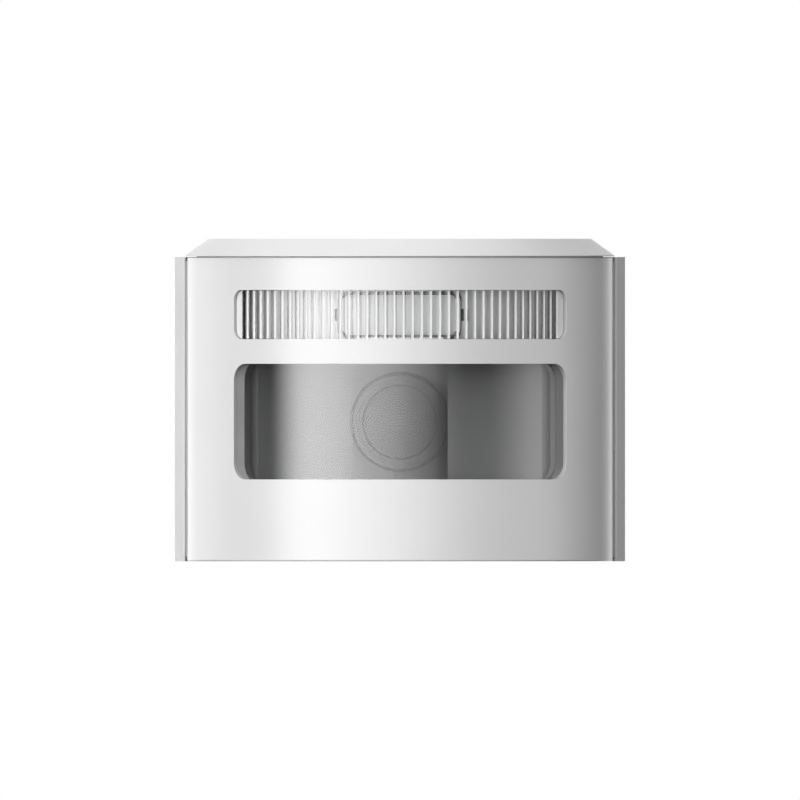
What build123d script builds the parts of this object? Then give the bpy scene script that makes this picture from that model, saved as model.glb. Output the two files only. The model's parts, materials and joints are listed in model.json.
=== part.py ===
"""Half-round laser scanner module: front cover with a tinted scan window and a ribbed light bar, a bevelled
cap, a rear housing that bolts to a machine, and inside them a spinning 45 degree mirror with its motor, the
receiving optics, the light source and the boards.

Frame: millimetres, +Z up, +X to the right and the scan window towards -Y. The origin is on the base plane,
below the centre of the outer box. Angles are taken about the scan axis, 0 towards -Y and positive to +X.
"""

import os
from math import cos, degrees, radians, sin

from build123d import *

# ---------------------------------------------------------------- driving dimensions
SCAN_Y = 19.0  # the scan axis stands at x = 0, y = SCAN_Y
SCAN_Z = 42.0  # height of the scan plane
BODY_H = 91.5  # cover and rear housing
GAP = 0.2  # general clearance between fixed pieces
SLIDE_GAP = 0.3  # clearance of pieces that the cover slides past

COVER_R = 64.0
COVER_WALL = 2.2
COVER_IN = COVER_R - COVER_WALL
COVER_BACK = 39.5

CAP_R = 64.5
CAP_TOP_R = 57.5
CAP_Z = BODY_H + GAP  # underside of the cap
CAP_LIP = 0.3
TOP_Z = 97.0

BACK_Y = 45.5
BACK_WALL = 3.0
BACK_IN = BACK_Y - BACK_WALL
SIDE_IN = 64.3
GROOVE_X = 64.7  # the narrow groove beside the cover widens at the front
SIDE_OUT = 67.7
SIDE_FRONT = 24.0
SIDE_SLOPE = 7.5  # depth of the slanted front rim

OPEN_HALF = 51.4  # half angle of both windows in the cover
SCAN_OPEN = (24.6, 59.4)
SCAN_CORNER = 5.2
LIGHT_OPEN = (66.8, 81.6)
LIGHT_CORNER = 3.2

WINDOW_R = (59.6, 61.65)
WINDOW_EDGE = 1.8  # the pane reaches this far past the cover's opening on all sides
GASKET_R = (59.6, 61.75)
GASKET_EDGE = 3.0
BEZEL_R = (57.4, 59.5)
BEZEL_EDGE = 3.2
BEZEL_STEP = 0.6  # the bezel's opening is larger than the cover's by this on all sides
RIB_PITCH = 2.5  # degrees
RIB_COUNT = 39
RIB_FLUTE = 1.0  # degrees, the rest of the pitch is the crest
RIB_CREST_R = 63.1
RIB_ROOT_R = 62.6
FLANGE_R = (60.1, 61.7)

SKIRT_R = 61.1  # the cap's skirt and the base plate fit inside the cover
SKIRT_BACK = 34.0
PLATE_T = 2.5
RIM_T = 2.0
SEAL_DEPTH = 0.9
SEAL_H = 1.5

BAY_X = (26.0, 50.0)
BAY_Y = 24.0
BAY_TOP = 31.0
BAY_WALL = 2.0
PLUG_X, PLUG_Z = 40.0, 15.0
PLUG_R = 6.0
PLUG_NECK_R = 5.8
BUTTON_X, BUTTON_Z = 30.4, 26.4
BUTTON_R = 2.5

MOUNT_X = 56.0
MOUNT_Z = (11.0, 81.0)
MOUNTS = tuple((side * MOUNT_X, z) for side in (-1, 1) for z in MOUNT_Z)
COVER_SCREW_X = 57.6
COVER_SCREW_Z = (27.0, 65.0)
COVER_SCREWS = tuple((side * COVER_SCREW_X, z) for side in (-1, 1) for z in COVER_SCREW_Z)
REAR_POST_X, REAR_POST_Y = 46.0, 37.5
FRONT_POSTS = ((-24.0, -9.0), (24.0, -9.0))
CAP_SCREWS = ((-REAR_POST_X, REAR_POST_Y), (REAR_POST_X, REAR_POST_Y), *FRONT_POSTS)
SHELF_SCREWS = ((-17.0, 7.0), (17.0, 7.0), (-17.0, 33.0), (17.0, 33.0))
BASE_SCREWS = (*SHELF_SCREWS, (-REAR_POST_X, REAR_POST_Y))
BOARD_SCREWS = ((-38.0, -15.0), (38.0, -15.0))
BOARD_POSTS = ((-24.0, -31.0), (24.0, -31.0))
FRAME_SCREWS = ((-16.0, 50.0), (16.0, 50.0), (-16.0, 76.0), (16.0, 76.0))
VENT_X, VENT_Z = -38.0, 20.0
VENT_R = 3.0

SHELF_LOW = (5.0, 7.5)
SHELF_HIGH = (63.5, 66.5)
FRAME_HALF = 22.0
WEB_Y = (39.8, 42.3)

CHAMBER_HALF = 49.0  # half angle of the open fan in front of the mirror
CHAMBER_FLOOR = (22.8, 24.2)
CHAMBER_ROOF = (59.8, 61.2)
CHAMBER_BACK_R = 19.0
CHAMBER_WALL = 1.8
CHAMBER_FRONT_R = 56.6
CHAMBER_LAND = 5.0  # degrees of solid wall beyond the fan on each side
CHAMBER_HOLE_R = 14.6

MIRROR_R = 13.8
HOLDER_R = 15.1
HOLDER_T = 3.2

LENS_CLEAR_R = 10.95
LENS_SEAT_R = 12.3
TUBE_R = 13.8

BOARD_T = 1.6
MAIN_BOARD_Z = 5.6
MAIN_BOARD_R = 56.5

AXIS = (0.0, SCAN_Y)


# ---------------------------------------------------------------- shared shapes
def at(radius, angle):
    """Point on a circle about the scan axis; angle in degrees from -Y towards +X."""
    return (radius * sin(radians(angle)), SCAN_Y - radius * cos(radians(angle)))


def arc(radius, start, end):
    """Arc about the scan axis between two angles."""
    return ThreePointArc(at(radius, start), at(radius, (start + end) / 2), at(radius, end))


def window_block(r_in, r_out, half, z_low, z_high, corner):
    """Piece of a tube about the scan axis, cut radially at both ends, its four corners rounded."""
    with BuildPart() as block:
        with BuildSketch(Plane.XY.offset(z_low)):
            with BuildLine():
                arc(r_in, -half, half)
                Line(at(r_in, half), at(r_out, half))
                arc(r_out, half, -half)
                Line(at(r_out, -half), at(r_in, -half))
            make_face()
        extrude(amount=z_high - z_low)
        radial = block.edges().filter_by(GeomType.LINE).filter_by(Axis.Z, reverse=True)
        fillet(radial, corner)
    return block.part


def half_round(radius, back, z_low, z_high):
    """Solid with a half-round front about the scan axis and straight sides back to y = back."""
    with BuildPart() as body:
        add(half_round_face(radius, back, z_low))
        extrude(amount=z_high - z_low)
    return body.part


def half_round_face(radius, back, z):
    """The outline of half_round as a face at height z."""
    with BuildSketch(Plane.XY.offset(z)) as face:
        with BuildLine():
            ThreePointArc((-radius, SCAN_Y), (0, SCAN_Y - radius), (radius, SCAN_Y))
            Line((radius, SCAN_Y), (radius, back))
            Line((radius, back), (-radius, back))
            Line((-radius, back), (-radius, SCAN_Y))
        make_face()
    return face.sketch


def half_round_band(r_in, r_out, back, z_low, z_high):
    """Open U-shaped band between two half-round outlines."""
    with BuildPart() as band:
        add(half_round(r_out, back, z_low, z_high))
        add(half_round(r_in, back + 1, z_low - 1, z_high + 1), mode=Mode.SUBTRACT)
    return band.part


def socket_screw(thread_r, length, head_r, head_h, key):
    """Screw with its head's underside at the origin, the thread down -Z and a hexagon socket on top."""
    with BuildPart() as screw:
        Cylinder(head_r, head_h, align=(Align.CENTER, Align.CENTER, Align.MIN))
        chamfer(screw.edges().group_by(Axis.Z)[-1], head_h * 0.14)
        Cylinder(thread_r, length, align=(Align.CENTER, Align.CENTER, Align.MAX))
        chamfer(screw.edges().group_by(Axis.Z)[0], thread_r * 0.3)
        with BuildSketch(Plane.XY.offset(head_h)):
            RegularPolygon(key / 2, 6, major_radius=False)
        extrude(amount=-head_h * 0.6, mode=Mode.SUBTRACT)
    return screw.part


def tube(radius, bore, z_low, z_high):
    """Ring about the scan axis, between two heights."""
    with BuildPart() as ring:
        with BuildSketch(Plane.XY.offset(z_low)):
            with Locations(AXIS):
                Circle(radius)
                Circle(bore, mode=Mode.SUBTRACT)
        extrude(amount=z_high - z_low)
    return ring.part


def box_between(x, y, z):
    """Plain block between two corners, each argument a (low, high) pair."""
    with BuildPart() as block:
        with Locations((x[0], y[0], z[0])):
            Box(
                x[1] - x[0],
                y[1] - y[0],
                z[1] - z[0],
                align=(Align.MIN, Align.MIN, Align.MIN),
            )
    return block.part


def rod(point, radius, length, direction):
    """Plain cylinder from a point along a direction."""
    with BuildPart() as cylinder:
        with BuildSketch(Plane(point, z_dir=direction)):
            Circle(radius)
        extrude(amount=length)
    return cylinder.part


# ---------------------------------------------------------------- housing
M3_R = 1.5
M3_CLEAR_R = 1.7
M3_HEAD_R = 2.75
M3_HEAD_H = 2.2
HEAD_HOLE_R = 3.1
POST_R = 3.6
INSERT_R = 3.0
INSERT_L = 8.0
CAP_POST_LOW = 78.0
BASE_POST_TOP = 16.0
COVER_HEAD_DEPTH = 3.4
FRAME_HEAD_DEPTH = 1.9
CAP_HEAD_DEPTH = 2.5
BASE_HEAD_DEPTH = 1.4


def front_cover():
    """Half-round shell with both windows and four screw bosses inside its straight sides."""
    boss_r = 4.0
    boss_front = 25.0
    with BuildPart() as cover:
        add(half_round_band(COVER_IN, COVER_R, COVER_BACK, 0, BODY_H))
        outer = cover.faces().filter_by(GeomType.CYLINDER).sort_by(SortBy.AREA)[-1]
        rims = outer.edges().filter_by(GeomType.CIRCLE)
        fillet(rims, 0.4)
        add(window_block(50, 70, OPEN_HALF, *SCAN_OPEN, SCAN_CORNER), mode=Mode.SUBTRACT)
        add(window_block(50, 70, OPEN_HALF, *LIGHT_OPEN, LIGHT_CORNER), mode=Mode.SUBTRACT)
        for x, z in COVER_SCREWS:
            wall = (COVER_IN + 0.6) * x / COVER_SCREW_X
            add(rod((x, boss_front, z), boss_r, COVER_BACK - boss_front, (0, 1, 0)))
            add(box_between(sorted((x, wall)), (boss_front, COVER_BACK), (z - 3, z + 3)))
            add(rod((x, boss_front + 2, z), M3_CLEAR_R, COVER_BACK, (0, 1, 0)), mode=Mode.SUBTRACT)
    return cover


def scan_frame(radii, edge):
    """Curved block round the scan opening that reaches past it by edge on all sides."""
    half = OPEN_HALF + degrees(edge / COVER_R)
    z_low, z_high = SCAN_OPEN
    return window_block(*radii, half, z_low - edge, z_high + edge, SCAN_CORNER + edge)


def window_gasket():
    """Rubber ring round the rim of the pane, between the cover and the bezel."""
    with BuildPart() as gasket:
        add(scan_frame(GASKET_R, GASKET_EDGE))
        add(scan_frame((50, 70), WINDOW_EDGE + 0.1), mode=Mode.SUBTRACT)
    return gasket


def window_bezel():
    """Frame behind the pane that holds it to the cover; a strip of it shows through the pane."""
    with BuildPart() as bezel:
        add(scan_frame(BEZEL_R, BEZEL_EDGE))
        add(scan_frame((50, 70), BEZEL_STEP), mode=Mode.SUBTRACT)
    return bezel


def scan_window():
    """Tinted pane, coaxial with the scan axis so that every beam crosses it squarely."""
    with BuildPart() as window:
        add(scan_frame(WINDOW_R, WINDOW_EDGE))
    return window


def lens_ribs():
    """Upright block with a fluted face, wider and taller than the lens that is cut from it."""
    back = FLANGE_R[0] + 0.5
    edge = OPEN_HALF + 1.0
    ribbed = RIB_COUNT * RIB_PITCH / 2
    z_low, z_high = LIGHT_OPEN
    with BuildPart() as ribs:
        with BuildSketch(Plane.XY.offset(z_low - 1)):
            with BuildLine():
                arc(RIB_CREST_R, -edge, -ribbed)
                for i in range(RIB_COUNT):
                    end = (i + 1) * RIB_PITCH - ribbed
                    flute = end - RIB_FLUTE
                    arc(RIB_CREST_R, end - RIB_PITCH, flute)
                    root = at(RIB_ROOT_R, (flute + end) / 2)
                    ThreePointArc(at(RIB_CREST_R, flute), root, at(RIB_CREST_R, end))
                arc(RIB_CREST_R, ribbed, edge)
                Line(at(RIB_CREST_R, edge), at(back, edge))
                arc(back, edge, -edge)
                Line(at(back, -edge), at(RIB_CREST_R, -edge))
            make_face()
        extrude(amount=z_high - z_low + 2)
    return ribs.part


def light_lens():
    """Clear lens of the light bar: a ribbed face that stands in the opening, and a flange behind it."""
    step = 0.15
    lip = 2.2
    z_low, z_high = LIGHT_OPEN
    with BuildPart() as lens:
        add(lens_ribs())
        add(
            window_block(50, 70, OPEN_HALF - step, z_low + step, z_high - step, LIGHT_CORNER - step),
            mode=Mode.INTERSECT,
        )
        add(window_block(*FLANGE_R, 54.0, z_low - lip, z_high + lip, LIGHT_CORNER + 1.4))
    return lens


def housing_shell():
    """Back wall and side walls that wrap the cover, with the recessed bay for the plug and the button."""
    bay_out = (BAY_X[0] - BAY_WALL, BAY_X[1] + BAY_WALL)
    with BuildPart() as shell:
        with BuildSketch(Plane.XY):
            with BuildLine():
                half = Polyline(
                    (0, BACK_Y),
                    (SIDE_OUT, BACK_Y),
                    (SIDE_OUT, SIDE_FRONT + SIDE_SLOPE),
                    (GROOVE_X + 0.5, SIDE_FRONT),
                    (GROOVE_X, SIDE_FRONT),
                    (GROOVE_X, SIDE_FRONT + 1.2),
                    (SIDE_IN, SIDE_FRONT + 1.2),
                    (SIDE_IN, BACK_IN),
                    (0, BACK_IN),
                )
                mirror(half, about=Plane.YZ)
            make_face()
        extrude(amount=BODY_H)
        corners = shell.edges().filter_by(Axis.Z).group_by(Axis.Y)[-1]
        fillet(corners, 2.0)
        add(box_between(bay_out, (BAY_Y - BAY_WALL, BACK_Y), (0, BAY_TOP + BAY_WALL)))
        add(box_between(BAY_X, (BAY_Y, BACK_Y + 1), (-1, BAY_TOP)), mode=Mode.SUBTRACT)
    return shell.part


def rear_post(x, z_low, z_high):
    """Post on the inside of the back wall, for a screw of the cap or of the base plate."""
    with BuildPart() as post:
        add(box_between((x - POST_R, x + POST_R), (REAR_POST_Y, BACK_IN + 1), (z_low, z_high)))
        add(rod((x, REAR_POST_Y, z_low), POST_R, z_high - z_low, (0, 0, 1)))
    return post.part


def rear_drills(places, radius, depth):
    """Rods that cut holes of one size into the back wall from behind, at several (x, z) places."""
    with BuildPart() as rods:
        for x, z in places:
            add(rod((x, BACK_Y + 1, z), radius, 1 + depth, (0, -1, 0)))
    return rods.part


def rear_housing():
    """Rear shell with its insert bosses, screw posts and holes."""
    base_low = PLATE_T + GAP
    with BuildPart() as housing:
        add(housing_shell())
        for x, z in MOUNTS:
            add(rod((x, BACK_Y - 11, z), 4.5, 10, (0, 1, 0)))
        for x, z in COVER_SCREWS:
            add(rod((x, COVER_BACK + GAP, z), 4.6, 4, (0, 1, 0)))
        add(rear_post(-REAR_POST_X, base_low, BASE_POST_TOP))
        for x in (-REAR_POST_X, REAR_POST_X):
            add(rear_post(x, CAP_POST_LOW, CAP_Z))
            add(rod((x, REAR_POST_Y, 80), M3_CLEAR_R, 20, (0, 0, 1)), mode=Mode.SUBTRACT)
        add(rod((-REAR_POST_X, REAR_POST_Y, 0), M3_CLEAR_R, 14, (0, 0, 1)), mode=Mode.SUBTRACT)
        add(rear_drills(MOUNTS, INSERT_R, INSERT_L), mode=Mode.SUBTRACT)
        add(rear_drills(COVER_SCREWS, M3_CLEAR_R, 11), mode=Mode.SUBTRACT)
        add(rear_drills(COVER_SCREWS, HEAD_HOLE_R, COVER_HEAD_DEPTH), mode=Mode.SUBTRACT)
        add(rear_drills(FRAME_SCREWS, M3_CLEAR_R, 7), mode=Mode.SUBTRACT)
        add(rear_drills(FRAME_SCREWS, HEAD_HOLE_R, FRAME_HEAD_DEPTH), mode=Mode.SUBTRACT)
        add(rear_drills([(VENT_X, VENT_Z)], VENT_R + 0.05, 5), mode=Mode.SUBTRACT)
        add(rod((PLUG_X, BAY_Y + 1, PLUG_Z), PLUG_NECK_R + 0.1, 4, (0, -1, 0)), mode=Mode.SUBTRACT)
        add(rod((BUTTON_X, BAY_Y + 1, BUTTON_Z), BUTTON_R + 0.1, 4, (0, -1, 0)), mode=Mode.SUBTRACT)
    return housing


def seal_groove(low):
    """Band to cut away from a rim, so that a rubber seal can lie in it."""
    return half_round_band(SKIRT_R - SEAL_DEPTH, SKIRT_R + 1, SKIRT_BACK + 1, low, low + SEAL_H)


def top_cap():
    """Bevelled cap with a lip over the cover and a skirt inside it."""
    skirt_z = CAP_Z - 3.7
    groove_z = skirt_z + 0.9
    with BuildPart() as cap:
        add(half_round(CAP_R, BACK_Y, CAP_Z, CAP_Z + CAP_LIP))
        add(half_round_face(CAP_R, BACK_Y, CAP_Z + CAP_LIP))
        add(half_round_face(CAP_TOP_R, BACK_Y, TOP_Z))
        loft(ruled=True)
        add(half_round_band(SKIRT_R - RIM_T, SKIRT_R, SKIRT_BACK, skirt_z, CAP_Z + 1))
        add(seal_groove(groove_z), mode=Mode.SUBTRACT)
        add(half_round(57.0, 34.5, CAP_Z - 1, TOP_Z - 2.4), mode=Mode.SUBTRACT)
        for x, y in CAP_SCREWS:
            add(rod((x, y, CAP_Z), 4.6, TOP_Z - 2.0 - CAP_Z, (0, 0, 1)))
            add(rod((x, y, CAP_Z - 1), M3_CLEAR_R, 10, (0, 0, 1)), mode=Mode.SUBTRACT)
            add(rod((x, y, TOP_Z - CAP_HEAD_DEPTH), HEAD_HOLE_R, 3, (0, 0, 1)), mode=Mode.SUBTRACT)
    return cap


def rim_seal(low):
    """Rubber band for the groove of the cap's skirt or of the base plate's rim."""
    with BuildPart() as seal:
        inner = SKIRT_R - SEAL_DEPTH + 0.05
        outer = COVER_IN - SLIDE_GAP
        add(half_round_band(inner, outer, SKIRT_BACK - 0.1, low + 0.1, low + SEAL_H - 0.1))
    return seal


def base_plate():
    """Bottom plate with an upstanding rim inside the cover, notched for the plug bay."""
    notch = (BAY_X[0] - BAY_WALL - GAP, BAY_X[1] + BAY_WALL + GAP)
    groove_z = PLATE_T + 1.0
    with BuildPart() as base:
        add(half_round(SKIRT_R, BACK_IN - GAP, 0, PLATE_T))
        corner = SIDE_IN - GAP
        add(box_between((-corner, corner), (COVER_BACK + SLIDE_GAP, BACK_IN - GAP), (0, PLATE_T)))
        add(half_round_band(SKIRT_R - RIM_T, SKIRT_R, SKIRT_BACK, PLATE_T, groove_z + SEAL_H + 1.0))
        add(seal_groove(groove_z), mode=Mode.SUBTRACT)
        for x, y in (*BOARD_SCREWS, *BOARD_POSTS):
            add(rod((x, y, PLATE_T), 3.2, MAIN_BOARD_Z - PLATE_T, (0, 0, 1)))
        add(box_between(notch, (BAY_Y - BAY_WALL - GAP, 60), (-1, 10)), mode=Mode.SUBTRACT)
        for x, y in (*BASE_SCREWS, *BOARD_SCREWS):
            add(rod((x, y, -1), M3_CLEAR_R, 12, (0, 0, 1)), mode=Mode.SUBTRACT)
            add(rod((x, y, -1), HEAD_HOLE_R, 1 + BASE_HEAD_DEPTH, (0, 0, 1)), mode=Mode.SUBTRACT)
    return base


# ---------------------------------------------------------------- fasteners
def mount_inserts():
    """Four M4 brass inserts in the back wall, where the module is bolted on."""
    with BuildPart() as inserts:
        with Locations(*[Pos(x, BACK_Y, z) * Rot(90, 0, 0) for x, z in MOUNTS]):
            Cylinder(INSERT_R, INSERT_L, align=(Align.CENTER, Align.CENTER, Align.MIN))
            Hole(2.0, depth=INSERT_L - 1)
    return inserts


def cover_screws():
    """Four long screws that hold the cover from behind."""
    screw = socket_screw(M3_R, 15.0, M3_HEAD_R, 2.8, 2.5)
    with BuildPart() as screws:
        for x, z in COVER_SCREWS:
            with Locations(Pos(x, BACK_Y - COVER_HEAD_DEPTH, z) * Rot(-90, 0, 0)):
                add(screw)
    return screws


def cap_screws():
    """Four low-head screws on top of the cap."""
    screw = socket_screw(M3_R, 9.0, M3_HEAD_R, M3_HEAD_H, 2.0)
    with BuildPart() as screws:
        for x, y in CAP_SCREWS:
            with Locations((x, y, TOP_Z - CAP_HEAD_DEPTH)):
                add(screw)
    return screws


def base_screws():
    """Low-head screws under the base plate."""
    screw = socket_screw(M3_R, 5.5, M3_HEAD_R, 1.3, 2.0)
    short_screw = socket_screw(M3_R, 3.8, M3_HEAD_R, 1.3, 2.0)
    with BuildPart() as screws:
        for x, y in BASE_SCREWS:
            with Locations(Pos(x, y, BASE_HEAD_DEPTH) * Rot(180, 0, 0)):
                add(screw)
        for x, y in BOARD_SCREWS:
            with Locations(Pos(x, y, BASE_HEAD_DEPTH) * Rot(180, 0, 0)):
                add(short_screw)
    return screws


def frame_screws():
    """Four screws that hold the optics frame to the back wall."""
    screw = socket_screw(M3_R, 4.0, M3_HEAD_R, 1.7, 2.0)
    with BuildPart() as screws:
        for x, z in FRAME_SCREWS:
            with Locations(Pos(x, BACK_Y - FRAME_HEAD_DEPTH, z) * Rot(-90, 0, 0)):
                add(screw)
    return screws


# ---------------------------------------------------------------- frame and scan chamber
def optics_frame():
    """C-shaped casting: a web against the back wall, a motor shelf below and an optics shelf above."""
    shelf_y = (1.5, WEB_Y[1])
    half = (-FRAME_HALF, FRAME_HALF)
    with BuildPart() as frame:
        add(box_between(half, WEB_Y, (SHELF_LOW[0], 84.0)))
        add(box_between(half, shelf_y, SHELF_LOW))
        add(box_between(half, shelf_y, SHELF_HIGH))
        front = frame.edges().filter_by(Axis.Z).group_by(Axis.Y)[0]
        fillet(front, 6.0)
        for x in (-FRAME_HALF + 1.2, FRAME_HALF - 1.2):
            with BuildSketch(Plane.YZ.offset(x)):
                with BuildLine():
                    Polyline((29, SHELF_HIGH[1]), (WEB_Y[1], SHELF_HIGH[1]), (WEB_Y[1], 82), close=True)
                make_face()
            extrude(amount=1.2, both=True)
        for x, y in SHELF_SCREWS:
            add(rod((x, y, PLATE_T), 3.4, SHELF_LOW[0] - PLATE_T, (0, 0, 1)))
            add(rod((x, y, 0), 1.6, 20, (0, 0, 1)), mode=Mode.SUBTRACT)
        for x, z in FRAME_SCREWS:
            add(rod((x, 50, z), 1.6, 14, (0, -1, 0)), mode=Mode.SUBTRACT)
        add(rod((*AXIS, 0), 6.05, 20, (0, 0, 1)), mode=Mode.SUBTRACT)
        add(rod((*AXIS, 60), TUBE_R + 0.1, 10, (0, 0, 1)), mode=Mode.SUBTRACT)
        with Locations((-10, 41, 30), (10, 41, 30)):
            Box(9, 6, 22, mode=Mode.SUBTRACT)
    return frame


def fan(half, r_front, r_back, z_low, z_high):
    """Sector about the scan axis towards the window, joined to a round body at the axis."""
    with BuildPart() as solid:
        with BuildSketch(Plane.XY.offset(z_low)):
            with BuildLine():
                Line(AXIS, at(r_front, -half))
                arc(r_front, -half, half)
                Line(at(r_front, half), AXIS)
            make_face()
            with Locations(AXIS):
                Circle(r_back)
        extrude(amount=z_high - z_low)
    return solid.part


def scan_chamber():
    """Light trap: floor, roof, and a wall that opens into a fan in front of the mirror."""
    low, high = CHAMBER_FLOOR[0], CHAMBER_ROOF[1]
    out_r = CHAMBER_BACK_R + CHAMBER_WALL
    inside = fan(CHAMBER_HALF, 70, CHAMBER_BACK_R, CHAMBER_FLOOR[1], CHAMBER_ROOF[0])
    with BuildPart() as chamber:
        add(fan(CHAMBER_HALF + CHAMBER_LAND, CHAMBER_FRONT_R, out_r, low, high))
        add(inside, mode=Mode.SUBTRACT)
        add(rod((*AXIS, low - 1), CHAMBER_HOLE_R, 5, (0, 0, 1)), mode=Mode.SUBTRACT)
        add(rod((*AXIS, high - 4), TUBE_R + 0.3, 5, (0, 0, 1)), mode=Mode.SUBTRACT)
    return chamber


# ---------------------------------------------------------------- motor and rotor
SHAFT_R = 1.5
BEARING_R = 3.0
STATOR_R = 12.0
MAGNET_R = (12.4, 13.5)
BELL_R = 15.0
BELL_Z = (9.9, 17.0)
DISC_Z = (17.05, 17.55)
HUB_Z = (17.6, 20.0)


def bearing_tube():
    """Brass tube on the motor shelf, with a bearing seat at each end."""
    with BuildPart() as sleeve:
        add(tube(6.0, BEARING_R, SHELF_LOW[0], 8.4))
        add(tube(10.0, BEARING_R, SHELF_LOW[1], 8.4))
        add(tube(4.5, BEARING_R, 8.4, 15.0))
        add(tube(3.5, 2.3, 7.9, 12.2))
    return sleeve


def ball_bearing(z):
    """Small shielded ball bearing, its two rings and the shields joined in one piece."""
    with BuildPart() as bearing:
        add(tube(BEARING_R - 0.01, BEARING_R - 0.45, z, z + 2.5))
        add(tube(SHAFT_R + 0.45, SHAFT_R + 0.02, z, z + 2.5))
        add(tube(BEARING_R - 0.4, SHAFT_R + 0.4, z + 0.25, z + 2.25))
    return bearing


def motor_board():
    """Round driver board under the stator."""
    with BuildPart() as board:
        add(tube(16.5, 4.8, 8.5, 9.5))
        add(box_between((-6, 6), (0.2, 6.0), (8.5, 9.5)))
    return board


def stator_core():
    """Nine-tooth lamination stack."""
    with BuildPart() as stator:
        add(tube(6.2, 4.55, 10.3, 14.3))
        add(tube(STATOR_R, STATOR_R - 1.2, 10.3, 14.3))
        with Locations((*AXIS, 10.3)):
            with PolarLocations(0, 9):
                Box(11.4, 1.8, 4.0, align=(Align.MIN, Align.CENTER, Align.MIN))
        add(rod((*AXIS, 5), 4.55, 20, (0, 0, 1)), mode=Mode.SUBTRACT)
        with Locations((*AXIS, 12.3)):
            with PolarLocations(STATOR_R, 9, start_angle=20):
                Box(3.0, 1.2, 4.2, mode=Mode.SUBTRACT)
    return stator


def stator_coils():
    """Nine copper coils, one on each tooth."""
    with BuildPart() as coils:
        with Locations((*AXIS, 12.3)):
            with PolarLocations(8.5, 9):
                Box(4.0, 3.0, 5.0)
                Box(4.2, 1.84, 4.04, mode=Mode.SUBTRACT)
    return coils


def motor_shaft():
    """Hardened shaft that carries the bell and the mirror hub."""
    with BuildPart() as shaft:
        add(rod((*AXIS, 4.6), SHAFT_R, 15.9, (0, 0, 1)))
        chamfer(shaft.edges(), 0.25)
    return shaft


def rotor_bell():
    """Steel bell over the stator, with a hub that grips the shaft."""
    with BuildPart() as bell:
        add(tube(BELL_R, MAGNET_R[1] + 0.02, BELL_Z[0], 15.6))
        add(tube(BELL_R, SHAFT_R + 0.01, 15.5, BELL_Z[1]))
        rim = bell.edges().group_by(Axis.Z)[-1].sort_by(SortBy.LENGTH)[-1]
        fillet(rim, 0.6)
    return bell


def magnet_ring():
    """Bonded magnet ring inside the bell."""
    with BuildPart() as magnet:
        add(tube(MAGNET_R[1], MAGNET_R[0], 10.2, 15.2))
    return magnet


def encoder_disc():
    """Thin slotted disc between the bell and the mirror hub."""
    with BuildPart() as disc:
        add(tube(19.5, SHAFT_R + 0.05, *DISC_Z))
        with Locations((*AXIS, (DISC_Z[0] + DISC_Z[1]) / 2)):
            with PolarLocations(17.9, 48):
                Box(2.0, 1.1, 1.0, mode=Mode.SUBTRACT)
    return disc


def encoder_sensor():
    """Fork light barrier that reads the disc's slots."""
    with BuildPart() as fork:
        add(box_between((17.0, 21.9), (15.5, 22.5), (SHELF_LOW[1], 20.8)))
        add(box_between((16, 20.2), (14, 24), (16.2, 18.5)), mode=Mode.SUBTRACT)
    return fork


def mirror_plane():
    """Plane of the mirror's face: it looks forward and up at 45 degrees."""
    return Plane((0, SCAN_Y, SCAN_Z), x_dir=(1, 0, 0), z_dir=(0, -1, 1))


def tilted_slab(radius, top, bottom):
    """45 degree slab trimmed so that it is round both from above and from the front."""
    with BuildPart() as slab:
        with BuildSketch(mirror_plane().offset(bottom)):
            Circle(30)
        extrude(amount=top - bottom)
        add(rod((*AXIS, 0), radius, 90, (0, 0, 1)), mode=Mode.INTERSECT)
        add(rod((0, SCAN_Y - 40, SCAN_Z), radius, 80, (0, 1, 0)), mode=Mode.INTERSECT)
    return slab.part


def mirror_holder():
    """Rimmed plate at 45 degrees on a stem and a round hub."""
    with BuildPart() as holder:
        add(tilted_slab(HOLDER_R, 0, -HOLDER_T))
        add(tilted_slab(MIRROR_R + 0.05, 1, -1.5), mode=Mode.SUBTRACT)
        with BuildSketch(Plane.YZ):
            with BuildLine():
                Polyline(
                    (SCAN_Y - 7.0, HUB_Z[1] - 0.5),
                    (SCAN_Y + 8.5, HUB_Z[1] - 0.5),
                    (SCAN_Y + 12.0, SCAN_Z + 8.0),
                    (SCAN_Y - 8.5, SCAN_Z - 12.5),
                    close=True,
                )
            make_face()
            with Locations((SCAN_Y + 3.5, 29.5)):
                Circle(3.0, mode=Mode.SUBTRACT)
        extrude(amount=2.0, both=True)
        add(tilted_slab(MIRROR_R + 0.05, 12, -1.5), mode=Mode.SUBTRACT)
        add(tube(13.0, SHAFT_R + 0.01, *HUB_Z))
        with Locations((*AXIS, HUB_Z[1])):
            with PolarLocations(10.5, 3, start_angle=90):
                Hole(1.1, depth=HUB_Z[1] - HUB_Z[0])
        add(rod((*AXIS, HUB_Z[0] - 1), SHAFT_R + 0.01, 4, (0, 0, 1)), mode=Mode.SUBTRACT)
    return holder


def scan_mirror():
    """First-surface mirror in the holder's recess."""
    with BuildPart() as mirror:
        add(tilted_slab(MIRROR_R, -0.25, -1.45))
    return mirror


def hub_screws():
    """Three small screws through the mirror hub."""
    screw = socket_screw(1.0, 2.3, 1.8, 1.2, 1.3)
    with BuildPart() as screws:
        with Locations((*AXIS, HUB_Z[1])):
            with PolarLocations(10.5, 3, start_angle=90):
                add(screw)
    return screws


# ---------------------------------------------------------------- receiving optics and light source
BLOCK_Z = (72.0, 86.0)
BLOCK_HALF = 12.0
BEAM_Z = 79.0


def lens_tube():
    """Black tube that hangs the objective over the mirror."""
    with BuildPart() as barrel:
        add(tube(TUBE_R, LENS_SEAT_R, 61.4, 67.2))
        add(tube(TUBE_R, 9.0, 67.2, BLOCK_Z[0]))
        add(tube(17.5, TUBE_R - 0.5, SHELF_HIGH[1], 68.6))
        with Locations((*AXIS, 68.6)):
            with PolarLocations(15.7, 3, start_angle=30):
                Hole(0.9, depth=3)
    return barrel


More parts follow.
